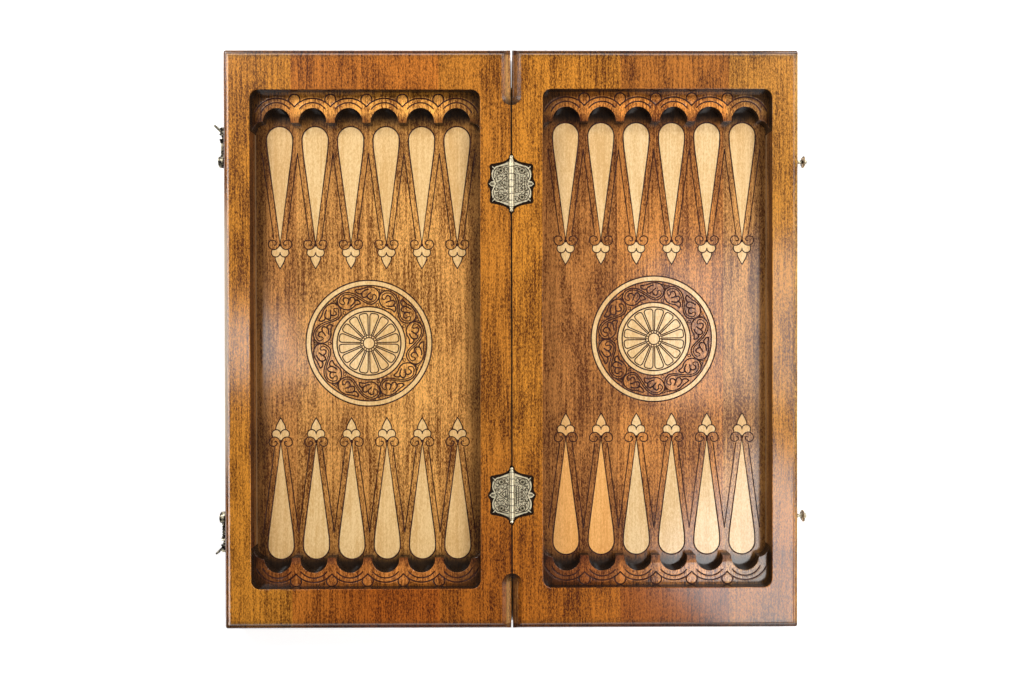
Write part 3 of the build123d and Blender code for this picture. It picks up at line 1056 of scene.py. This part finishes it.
class Shader(Nodes):
    """One material's nodes, with the place on the object in millimetres."""

    def __init__(self, name, kind="ShaderNodeBsdfPrincipled"):
        self.material = bpy.data.materials.new(name)
        self.material.use_nodes = True
        super().__init__(self.material.node_tree)
        self.tree.nodes.clear()
        self.surface = self.node(kind)
        self.output = self.node("ShaderNodeOutputMaterial")
        self.put(self.output.inputs["Surface"], self.surface.outputs[0])
        self.coordinates = self.node("ShaderNodeTexCoord")
        self.place = [self.times(v, 1 / MM) for v in self.split(self.coordinates.outputs["Object"])]
        self.x, self.y, self.z = self.place
        self.ax = self.absolute(self.x)
        self.ay = self.absolute(self.y)

    def off_hinge(self):
        """How far along the seam the place lies from the middle of the nearer hinge."""
        return self.absolute(self.minus(self.ay, HINGE_Y))

    def done(self, colour, **numbers):
        """Sets the surface's colour, and its other inputs by their names."""
        self.put(self.surface.inputs["Base Color"], colour)
        for name, value in numbers.items():
            self.put(self.surface.inputs[name.replace("_", " ")], value)
        return self.material

    def bump(self, height, strength, distance):
        node = self.node("ShaderNodeBump")
        for name, value in (("Strength", strength), ("Distance", distance), ("Height", height)):
            self.put(node.inputs[name], value)
        self.put(self.surface.inputs["Normal"], node.outputs[0])


# Each stave took the stain its own way
FLOOR_TONES = (
    (0.86, 0.78, 0.76),
    (1.02, 1.00, 1.00),
    (1.18, 1.22, 1.24),
    (1.10, 1.10, 1.08),
    (0.76, 0.63, 0.58),
    (0.92, 0.76, 0.66),
    (0.94, 0.93, 1.00),
)
RIM_TONES = (
    (1.20, 1.32, 1.06),
    (1.04, 0.93, 0.82),
    (1.10, 0.98, 0.86),
    (1.10, 1.14, 0.98),
    (1.24, 1.34, 1.05),
    (0.92, 0.88, 0.88),
    (1.12, 1.32, 1.30),
)
PALE_TONES = (
    (0.93, 0.90, 0.88),
    (1.00, 1.00, 1.00),
    (0.97, 0.95, 0.92),
    (0.95, 0.92, 0.88),
    (0.97, 0.96, 0.98),
    (0.99, 1.01, 1.08),
    (0.96, 0.95, 0.97),
)
TONE_PEAK = 2.0
HALF_SPAN = 300.0

# Grain layers: weight, size across and along in mm, detail, and half the spread of the noise that counts
GRAIN = (
    (0.50, 24.0, 70.0, 4.0, 0.20),
    (0.56, 2.0, 60.0, 3.0, 0.20),
    (0.56, 1.15, 3.6, 2.0, 0.18),
    (0.48, 0.85, 1.7, 1.0, 0.18),
)
GRAIN_ROUGH = 0.55
GRAIN_BUMP = (0.3, 0.00012)
GRAIN_STREAK = 0.6
STAVE_SHIFT = 91.7
STAVE_SLIDE = 3.1
RIM_RISE = (27.0, 28.5)

# Pale wood that turned warm on the lower points of one stave
WARM_TONE = (1.10, 0.84, 0.56, 1)
WARM_Y = (-60.0, -130.0)

# Where a recess is darker: distances in mm and strengths. By the walls, corners and arches this is darker
# stain with painted shade. The right tray is less dark
WALL_STAIN_AND_SHADE = (1.0, 21.0, 0.62, 0.0)
CORNER_STAIN_AND_SHADE = (4.0, 34.0, 0.8, 0.0)
CORNER_SHARES = (0.55, 0.45)
ARCH_STAIN_AND_SHADE = (20.0, 40.0, 0.97, 0.0)
POINT_STAIN = (60.0, 130.0, 0.55, 0.0)
POINT_TONE = (0.52, 0.45, 0.36, 1)
WAVER = (14.0, 60.0)
WAVER_REACH = 12.0
WALL_EDGE = -0.3
END_EDGE = -1.2
INNER_HEIGHTS = (FLOOR - 1.5, RIM - 0.75)
FLOOR_HEIGHT = SHELF - 1.6
END_REACH = 42.0
RIGHT_LESS_DARK = -0.4
SPINE_LESS_DARK = -0.45
SPINE_X = (0.0, 150.0)
LEVEL_RISE = (0.3, 0.75)
WALL_DARK = (0.55, 0.42)

# The upper shelves are lighter, the lower ones darker except at the far right, and the column ends dark with
# painted shade
SHELF_Y = 200.0
TOP_SHELF_TONE = (1.36, 1.28, 1.02, 1)
TIP_SHADE_RUN = (19.0, 29.5, 0.0, 0.9)
TIP_SHADE_TONE = (0.30, 0.22, 0.18, 1)
LOW_SHELF_RUN = (60.0, 170.0, 1.0, 0.0)
LOW_SHELF_TONE = (0.80, 0.58, 0.45, 1)

# A painted highlight: the light line at the foot of the side walls
FOOT_HIGHLIGHT_RISE = (FLOOR + 2.6, FLOOR + 4.2, 1.0, 0.0)
FOOT_HIGHLIGHT_STRENGTH = 0.55
FOOT_HIGHLIGHT_COLOUR = (0.60, 0.40, 0.22, 1)

# Hinge beds, and the coves at the ends of the seam. The beds, the cove stops, each cove most just right of
# the seam, and the seam's own faces take painted shade, and each cove has a painted highlight stripe on its
# left
BED_REACH = 31.0
BED_HALF = 36.0
BED_HEIGHTS = (COVE_FLOOR, RIM - 0.3)
BED_SHADE = 0.97
COVE_HEIGHTS = (COVE_FLOOR, RIM - 0.25)
COVE_STOP_SHADE = 0.93
COVE_SHADE = (0.0, 8.5, 0.78, 0.30)
COVE_LEFT = -0.5
COVE_SHADE_COLOUR = (0.05, 0.018, 0.004, 1)
COVE_HIGHLIGHT_X = -4.8
COVE_HIGHLIGHT = (0.3, 2.4, 1.0, 0.0)
COVE_HIGHLIGHT_STRENGTH = 0.40
COVE_HIGHLIGHT_COLOUR = (0.66, 0.38, 0.15, 1)
SEAM_SHADE = 0.8

# The rims are darker towards the lower end and along the end edges, and the moulding has its own tone,
# lightened on the right side by a painted reflection and in the middle of the left side by a painted sheen
RIM_FOOT = RIM - 2.0
LOW_RIM_Y = (-60.0, -240.0)
LOW_RIM_X = (-240.0, -130.0)
LOW_RIM_TONE = (0.80, 0.64, 0.50, 1)
EDGE_RUN = (288.0, 294.0)
EDGE_TONE = (0.66, 0.72, 0.80, 1)
BAND_X = 293.7
BAND_Y = 295.0
BAND_Z = 20.0
BAND_TONE = (0.35, 0.29, 0.30, 1)
# A painted reflection on the right side of the moulding
RIGHT_BAND_REFLECTION = (1.16, 1.42, 1.7, 1)
# A painted sheen on the middle of the left side of the moulding
LEFT_BAND_SHEEN_RUN = (90.0, 170.0, 0.75, 0.0)
LEFT_BAND_SHEEN_COLOUR = (0.62, 0.49, 0.36, 1)


def stave_stops(tones):
    places = [0.0] + [(x + HALF_SPAN) / (2 * HALF_SPAN) for x in GLUE_JOINTS]
    return [(place, tuple(v / TONE_PEAK for v in tone) + (1.0,)) for place, tone in zip(places, tones)]


def wood(name, floor_pair, rim_pair, tones, patina_and_shade, coat=1.0):
    """Lacquered beech with its grain along the seam: streaks, flecks, and stain that lies unevenly. With the
    near-black colour it also gets painted light and shade in the recesses, at the seam and on the moulding.
    """
    s = Shader(name)
    share = s.scaled(s.x, 1 / (2 * HALF_SPAN), 0.5)
    tone = s.steps(share, stave_stops(tones))
    number = 0.0
    for joint in GLUE_JOINTS:
        number = s.plus(s.above(s.x, joint), number)
    shift = s.times(number, STAVE_SHIFT)
    board = (s.plus(s.x, shift), s.plus(s.y, s.times(shift, STAVE_SLIDE)), s.z)

    def grain(across, along, detail, rough=0.5):
        return s.noise((across, along, across), board, detail, rough)

    factor = 0.5
    layers = []
    for weight, across, along, detail, spread in GRAIN:
        figure = grain(across, along, detail, GRAIN_ROUGH)
        layers.append(s.ramp(figure, 0.5 - spread, 0.5 + spread, -0.5, 0.5))
        factor = s.scaled(layers[-1], weight, factor)
    factor = s.plus(factor, 0.0, clamp=True)
    colour = s.mix(factor, *floor_pair)
    if rim_pair:
        lift = s.ramp(s.z, *RIM_RISE)
        colour = s.mix(lift, colour, s.mix(factor, *rim_pair))
        tone = s.mix(lift, tone, s.steps(share, stave_stops(RIM_TONES)))
    colour = s.tint(1.0, s.tint(1.0, colour, tone), (TONE_PEAK, TONE_PEAK, TONE_PEAK, 1.0))
    if patina_and_shade:
        # Stain and painted shade in the recesses and at the seam, then the rims' tones with painted light on
        # the moulding
        waver = s.times(s.minus(grain(*WAVER, 2.0), 0.5), WAVER_REACH)
        colour, stain_and_shade = stained_and_shaded_recess(s, colour, waver)
        colour, stain_and_shade = seam_shade_and_highlight(s, colour, stain_and_shade)
        colour = s.mix(stain_and_shade, toned_rims(s, colour), patina_and_shade)
    else:
        colour = s.tint(s.times(s.band(s.x, *GLUE_JOINTS[3:5]), s.ramp(s.y, *WARM_Y)), colour, WARM_TONE)
    s.bump(s.plus(layers[2], s.times(layers[1], GRAIN_STREAK)), *GRAIN_BUMP)
    return s.done(colour, Roughness=0.5, Specular_IOR_Level=0.12, Coat_Weight=coat, Coat_Roughness=0.16)


def stained_and_shaded_recess(s, colour, waver):
    """The tinted colour inside the recesses, with painted shade at the column ends and a painted highlight at
    the foot of the walls, and how far walls, corners and arches are black with stain and painted shade.
    """
    levelness = s.absolute(s.split(s.coordinates.outputs["Normal"])[2])
    wall = s.math("MINIMUM", s.minus(s.ax, RECESS_INNER), s.minus(RECESS_OUTER, s.ax))
    end = s.minus(RECESS_END, s.ay)
    within = s.times(s.above(wall, WALL_EDGE), s.above(end, END_EDGE))
    inner = s.times(s.band(s.z, *INNER_HEIGHTS), within)
    on_floor = s.below(s.z, FLOOR_HEIGHT)
    on_shelf = s.minus(inner, on_floor, clamp=True)
    by_end = s.below(end, END_REACH)

    for mask, tone in (
        (s.times(s.ramp(end, *POINT_STAIN), inner, on_floor), POINT_TONE),
        (s.times(s.above(s.y, SHELF_Y), on_shelf), TOP_SHELF_TONE),
        # Painted shade at the column ends
        (s.times(on_shelf, s.ramp(end, *TIP_SHADE_RUN)), TIP_SHADE_TONE),
        (s.times(s.below(s.y, -SHELF_Y), on_shelf, s.ramp(s.x, *LOW_SHELF_RUN)), LOW_SHELF_TONE),
    ):
        colour = s.tint(mask, colour, tone)
    # A painted highlight along the foot of the walls, left out near the ends
    foot_highlight = s.times(s.below(levelness, 0.5), s.ramp(s.z, *FOOT_HIGHLIGHT_RISE), inner)
    colour = s.mix(s.times(foot_highlight, s.scaled(by_end, -FOOT_HIGHLIGHT_STRENGTH, FOOT_HIGHLIGHT_STRENGTH)), colour, FOOT_HIGHLIGHT_COLOUR)

    # Darker by the walls, corners and arches: stain with painted shade
    corner = s.plus(s.times(wall, CORNER_SHARES[0]), s.times(end, CORNER_SHARES[1]))
    less_dark = s.scaled(s.above(s.x, 0.0), RIGHT_LESS_DARK, 1.0)
    less_dark = s.scaled(s.band(s.x, *SPINE_X), SPINE_LESS_DARK, less_dark)
    stain_and_shade = s.larger(
        s.times(s.ramp(s.plus(wall, waver), *WALL_STAIN_AND_SHADE), less_dark),
        s.ramp(s.plus(corner, waver), *CORNER_STAIN_AND_SHADE),
        s.times(s.ramp(s.scaled(waver, 0.5, end), *ARCH_STAIN_AND_SHADE), on_floor),
    )
    level = s.ramp(levelness, *LEVEL_RISE)
    dark_wall = s.times(s.minus(1.0, level), s.scaled(by_end, *WALL_DARK))
    stain_and_shade = s.larger(s.times(stain_and_shade, s.larger(level, by_end)), dark_wall)
    return colour, s.times(stain_and_shade, inner)


def seam_shade_and_highlight(s, colour, stain_and_shade):
    """Painted shade in the hinge beds, over the coves and their stops and on the seam's own faces, and a
    painted highlight stripe in each cove.
    """
    # Painted shade in the hinge beds
    shaded_bed = s.times(s.below(s.ax, BED_REACH), s.below(s.off_hinge(), BED_HALF))
    shaded_bed = s.times(shaded_bed, s.band(s.z, *BED_HEIGHTS))
    cove = s.times(s.below(s.ax, COVE_HALF), s.band(s.z, *COVE_HEIGHTS), s.above(s.ay, COVE_STOP[0]))
    # Painted shade at the cove stops and over each cove
    stop = s.times(cove, s.ramp(s.ay, *COVE_STOP, 1.0, 0.0))
    shade = s.plus(s.ramp(s.x, *COVE_SHADE), s.times(s.below(s.x, 0.0), COVE_LEFT))
    colour = s.mix(s.times(cove, shade), colour, COVE_SHADE_COLOUR)
    # A painted highlight stripe on the left of each cove
    off_highlight = s.absolute(s.minus(s.x, COVE_HIGHLIGHT_X))
    highlight = s.times(cove, s.ramp(off_highlight, *COVE_HIGHLIGHT), COVE_HIGHLIGHT_STRENGTH)
    colour = s.mix(highlight, colour, COVE_HIGHLIGHT_COLOUR)
    # The beds, the cove stops and the seam's faces go near-black: painted shade
    return colour, s.larger(stain_and_shade, s.times(shaded_bed, BED_SHADE), s.times(stop, COVE_STOP_SHADE), s.below(s.ax, SEAM_SHADE))


def toned_rims(s, colour):
    on_rim = s.above(s.z, RIM_FOOT)
    colour = s.tint(s.times(s.ramp(s.y, *LOW_RIM_Y), s.ramp(s.x, *LOW_RIM_X), on_rim), colour, LOW_RIM_TONE)
    colour = s.tint(s.times(s.ramp(s.ay, *EDGE_RUN), on_rim), colour, EDGE_TONE)
    outward = s.larger(s.minus(s.ax, BAND_X), s.minus(s.ay, BAND_Y))
    on_band = s.times(s.above(outward, 0.0), s.above(s.z, BAND_Z))
    # The right side of the moulding is lighter: a painted reflection
    right = s.times(s.above(s.x, BAND_X), s.below(s.ay, BAND_Y))
    colour = s.tint(on_band, colour, s.mix(right, BAND_TONE, RIGHT_BAND_REFLECTION))
    # A painted sheen on the middle of the left side of the moulding
    rubbed_and_sheen = s.times(s.below(s.x, -BAND_X), s.ramp(s.ay, *LEFT_BAND_SHEEN_RUN), on_band)
    return s.mix(rubbed_and_sheen, colour, LEFT_BAND_SHEEN_COLOUR)


# The near-black of the stain and of the painted shade in the recesses and at the seam
PATINA_AND_SHADE = (0.012, 0.006, 0.003, 1)
FLOOR_STAIN = ((0.130, 0.036, 0.005, 1), (0.82, 0.385, 0.095, 1))
RIM_STAIN = ((0.085, 0.018, 0.001, 1), (0.60, 0.21, 0.026, 1))
SHADE_STAIN = ((0.040, 0.012, 0.001, 1), (0.44, 0.18, 0.026, 1))
BARE_WOOD = ((0.76, 0.45, 0.165, 1), (0.97, 0.67, 0.32, 1))
STAINED = wood("stained_beech", FLOOR_STAIN, RIM_STAIN, FLOOR_TONES, PATINA_AND_SHADE)
COVED = wood("coved_beech", FLOOR_STAIN, RIM_STAIN, FLOOR_TONES, PATINA_AND_SHADE, coat=0.2)
SHADED = wood("shaded_beech", SHADE_STAIN, None, FLOOR_TONES, PATINA_AND_SHADE)
PALE = wood("pale_beech", BARE_WOOD, None, PALE_TONES, None)

CHAR_SIZES = (3.0, 9.0, 3.0)
CHAR_BUMP = (0.2, 0.0001)
CHAR_COLOURS = ((0.016, 0.004, 0.003, 1), (0.075, 0.022, 0.012, 1))


def burnt(name):
    s = Shader(name)
    char = s.ramp(s.noise(CHAR_SIZES, s.place, 3.0), 0.3, 0.7)
    s.bump(char, *CHAR_BUMP)
    colour = s.mix(char, *CHAR_COLOURS)
    return s.done(colour, Roughness=0.6, Specular_IOR_Level=0.1, Coat_Weight=0.25, Coat_Roughness=0.25)


BURNT = burnt("burnt_line")

# The look that all the brass shares: grime detail and sharpness, its range, and how much rougher it is
GRIME = (3.0, 0.55)
GRIME_RANGE = (0.3, 0.7)
GRIME_ROUGH = 0.18
GRIME_BUMP = (0.35, 0.00015)
METAL_SHARE = 0.85

# The hinges' dark joints between knuckles, their worn fields, and the dark middles of their screws
KNUCKLE_PITCH = 6.9
JOINT_HALF = 0.28
JOINT_BLUR = 0.35
JOINT_LEVEL = 0.2
BARREL_HALF = 2.62
BARREL_RISE = (29.7, 31.8, 0.20, 0.80)
BARREL_GRIME = 1.2
SCREW_DARK = 0.95
SCREW_BLUR = (-0.2, 0.25)
FIELD_SCALE = 1.25
FIELD_WEAR = (0.40, 0.56)
FIELD_REACH = 17.0
FIELD_RUN = 17.2
FIELD_DARK = 0.81


def brass(name, dark, bright, rise, rough, grime_size, grime_depth, lift, wear=None):
    """Antiqued brass: dark in the hollows and rubbed bright where it stands up."""
    s = Shader(name)
    grime = s.noise([grime_size] * 3, s.place, *GRIME)
    rubbed_and_sheen = s.scaled(s.minus(grime, 0.5), grime_depth, s.ramp(s.z, *rise, 0.0, lift), clamp=True)
    if wear:
        rubbed_and_sheen = wear(s, rubbed_and_sheen, grime)
    s.bump(grime, *GRIME_BUMP)
    roughness = s.ramp(grime, *GRIME_RANGE, rough, rough + GRIME_ROUGH)
    return s.done(s.mix(rubbed_and_sheen, dark, bright), Metallic=METAL_SHARE, Roughness=roughness)


def leaf_wear(s, rubbed_and_sheen, grime):
    """The leaf's field is worn in spots, and its knuckles are bright between dark joints."""
    worn = s.ramp(s.noise([FIELD_SCALE] * 3, s.place, 1.0), *FIELD_WEAR)
    field = s.times(s.below(s.ax, FIELD_REACH), s.below(s.off_hinge(), FIELD_RUN))
    rubbed_and_sheen = s.times(rubbed_and_sheen, s.minus(1.0, s.times(field, s.minus(1.0, worn), FIELD_DARK)))
    knuckle = s.scaled(s.minus(grime, 0.5), BARREL_GRIME, s.ramp(s.z, *BARREL_RISE), clamp=True)
    turns = s.math("DIVIDE", s.minus(s.ay, HINGE_Y), KNUCKLE_PITCH)
    away = s.times(s.absolute(s.minus(s.math("FRACT", turns), 0.5)), KNUCKLE_PITCH)
    knuckle = s.times(knuckle, s.ramp(away, JOINT_HALF, JOINT_HALF + JOINT_BLUR, JOINT_LEVEL, 1.0))
    barrel = s.below(s.ax, BARREL_HALF)
    return s.plus(s.times(barrel, knuckle), s.times(s.minus(1.0, barrel), rubbed_and_sheen))


def screw_wear(s, rubbed_and_sheen, _):
    """The middle of each screw is dark."""
    across = s.minus(s.ax, SCREW_PLACE[0])
    along = s.minus(s.off_hinge(), SCREW_PLACE[1])
    away = s.math("SQRT", s.scaled(across, across, s.times(along, along)))
    return s.times(rubbed_and_sheen, s.ramp(away, *[SCREW_DARK + blur for blur in SCREW_BLUR]))


# dark and bright colour, heights of the change, roughness, size and depth of the grime, and brightness
LEAF_BRASS = brass(
    "leaf_brass", (0.090, 0.068, 0.036, 1), (1.00, 0.88, 0.61, 1), (29.4, 29.86), 0.36, 1.7, 2.4, 1.35,
    wear=leaf_wear,
)
LEAF_DARK = brass(
    "leaf_dark_brass", (0.030, 0.020, 0.010, 1), (0.46, 0.36, 0.22, 1), (29.3, 29.9), 0.5, 1.9, 2.0, 0.42
)
PIN_BRASS = brass(
    "pin_brass", (0.20, 0.15, 0.08, 1), (0.93, 0.85, 0.60, 1), (29.6, 31.6), 0.3, 1.4, 1.6, 0.85
)
SCREW_BRASS = brass(
    "screw_brass", (0.010, 0.008, 0.006, 1), (0.75, 0.62, 0.38, 1), (29.3, 30.2), 0.4, 2.0, 0.9, 0.7,
    wear=screw_wear,
)
HOOK_BRASS = brass(
    "hook_brass", (0.010, 0.008, 0.009, 1), (0.80, 0.72, 0.50, 1), (15.0, 25.0), 0.26, 3.0, 3.6, 0.30
)
CATCH_BRASS = brass(
    "catch_brass", (0.020, 0.016, 0.012, 1), (0.92, 0.84, 0.62, 1), (12.0, 22.0), 0.26, 2.6, 3.4, 0.62
)
DARK_BRASS = brass(
    "dark_brass", (0.008, 0.007, 0.006, 1), (0.10, 0.085, 0.05, 1), (15.0, 25.0), 0.35, 2.6, 1.6, 0.3
)


# The staves

BODY_OF = {-1: "left_half", 1: "right_half"}
WOODS = (STAINED, PALE, BURNT, SHADED, COVED)
for side in (-1, 1):
    floor_lines, shelf_lines = half_lines(side)
    jobs = (
        (FLOOR, 1, floor_lines, floor_kind(side)),
        (SHELF, 1, shelf_lines, shelf_kind(side)),
        (0.0, -1, chess_lines(side), chess_kind),
    )
    half_name = BODY_OF[side].split("_")[0]
    for node in sorted(frame["nodes"]):
        if node.startswith(half_name) and node.endswith("_stave"):
            carved_copy(node, node + "_carved", BODY_OF[side], jobs, WOODS)

# Metal

LEAF_METALS = (LEAF_BRASS, LEAF_BRASS, LEAF_DARK)
PLAIN_METALS = {
    "_catch_post": CATCH_BRASS,
    "_hook_stud": HOOK_BRASS,
    "_pin": PIN_BRASS,
    "_screws": SCREW_BRASS,
}
for level, direction in (("upper", 1), ("lower", -1)):
    for side, word in ((-1, "left"), (1, "right")):
        node = f"{level}_hinge_{word}_leaf"
        relief = leaf_lines(side, direction * HINGE_Y)
        jobs = ((LEAF_TOP, 1, relief, lambda x, y: STAIN),)
        carved_copy(node, node + "_relief", BODY_OF[side], jobs, LEAF_METALS)
    twisted_hook(f"{level}_hook", f"{level}_hook_twisted", f"{level}_hook", direction, (HOOK_BRASS,))
for name, node in frame["nodes"].items():
    if name.endswith(("_stave", "_leaf", "_hook")):
        continue
    material = next((metal for word, metal in PLAIN_METALS.items() if name.endswith(word)), DARK_BRASS)
    node.data.materials.clear()
    node.data.materials.append(material)


# Floor, lights and camera

FLOOR_SIZE = 6.0
FLOOR_DROP = 0.0006
FLOOR_COLOUR = (0.85, 0.85, 0.85, 1)
FLOOR_GLOW = 0.6
SEAM_HALF = 2.2
SEAM_REACH = 286.0
SEAM_SHIFT = -16.0


def show_white(name):
    """A matt white ground that the camera and the metal see as white, with the object's shadow on it.

    It stays dark under the seam, where the two halves keep the light out.
    """
    s = Shader(name, "ShaderNodeBsdfDiffuse")
    s.surface.inputs["Color"].default_value = FLOOR_COLOUR
    path = s.node("ShaderNodeLightPath")
    seen = s.larger(*[path.outputs[f"Is {ray} Ray"] for ray in ("Camera", "Glossy", "Transmission")])
    clear = s.larger(s.above(s.ax, SEAM_HALF), s.above(s.absolute(s.minus(s.y, SEAM_SHIFT)), SEAM_REACH))
    glow = s.node("ShaderNodeEmission")
    s.put(glow.inputs["Strength"], s.times(seen, clear, FLOOR_GLOW))
    added = s.node("ShaderNodeAddShader")
    s.put(added.inputs[0], s.surface.outputs[0])
    s.put(added.inputs[1], glow.outputs[0])
    s.put(s.output.inputs["Surface"], added.outputs[0])
    return s.material


floor_mesh = bpy.data.meshes.new("studio_floor")
edge = FLOOR_SIZE / 2
corners = [(-edge, -edge), (edge, -edge), (edge, edge), (-edge, edge)]
floor_mesh.from_pydata([(x, y, -FLOOR_DROP) for x, y in corners], [], [(0, 1, 2, 3)])
floor_mesh.materials.append(show_white("studio_floor"))
studio_floor = placed("studio_floor", floor_mesh)

# A room with a dark ceiling and pale walls, plain white to the camera
WALLS = 0.40
CEILING = 0.05
CEILING_START = (0.2, 0.65)
world = bpy.data.worlds.new("studio")
world.use_nodes = True
bpy.context.scene.world = world
room = Nodes(world.node_tree)
up = room.split(room.node("ShaderNodeTexCoord").outputs["Generated"])[2]
rise = room.ramp(up, *CEILING_START, WALLS, CEILING, "LINEAR")
background = world.node_tree.nodes["Background"]
background.inputs["Color"].default_value = (1.0, 1.0, 1.0, 1)
to_camera = room.node("ShaderNodeLightPath").outputs["Is Camera Ray"]
room.put(background.inputs["Strength"], room.larger(rise, to_camera))


def lamp(name, place, width, height, radiance):
    """A softbox that faces the board. radiance 1 looks plain white."""
    light = bpy.data.lights.new(name, "AREA")
    light.shape = "RECTANGLE"
    light.size = width
    light.size_y = height
    light.energy = radiance * math.pi * width * height
    obj = placed(name, light)
    obj.location = place
    obj.rotation_euler = (Vector((0.0, 0.0, 0.0)) - Vector(place)).to_track_quat("-Z", "Y").to_euler()


# name, place, width, height and radiance
STRIP = (1.4, 0.08)
for settings in (
    ("left_key", (-0.86, 0.86, 0.82), 0.45, 0.45, 17.2),
    ("right_key", (0.86, 0.90, 0.82), 0.45, 0.45, 15.8),
    ("right_window", (0.61, 0.03, 0.95), 0.36, 0.62, 3.6),
    ("lower_window", (0.60, -0.50, 0.95), 0.40, 0.42, 6.9),
    ("left_sheen", (-0.66, 0.0, 0.95), 0.10, 0.3, 6.5),
    ("floor_sheen", (-0.49, -0.06, 0.95), 0.05, 0.36, 4.5),
    ("left_strip", (-1.2, 0.0, 0.2), *STRIP, 7.5),
    ("right_strip", (1.2, 0.0, 0.2), *STRIP, 1.9),
    ("front_strip", (0.0, -1.2, 0.2), *STRIP, 1.5),
    ("back_strip", (0.0, 1.2, 0.2), *STRIP, 3.5),
):
    lamp(*settings)

# The camera looks straight down from a little over the board
CAMERA_PLACE = (-0.0042, 0.0040, 0.8130)
CAMERA_TILT = (-0.39, -0.33, -0.09)
FOCAL_PIXELS = 757.5
IMAGE_WIDTH = 1024
SENSOR = 36.0
camera_data = bpy.data.cameras.new("camera")
camera_data.sensor_fit = "HORIZONTAL"
camera_data.sensor_width = SENSOR
camera_data.lens = FOCAL_PIXELS / IMAGE_WIDTH * SENSOR
camera = placed("camera", camera_data)
camera.location = CAMERA_PLACE
camera.rotation_euler = [math.radians(a) for a in CAMERA_TILT]
bpy.context.scene.camera = camera
bpy.context.scene.view_settings.view_transform = "Standard"
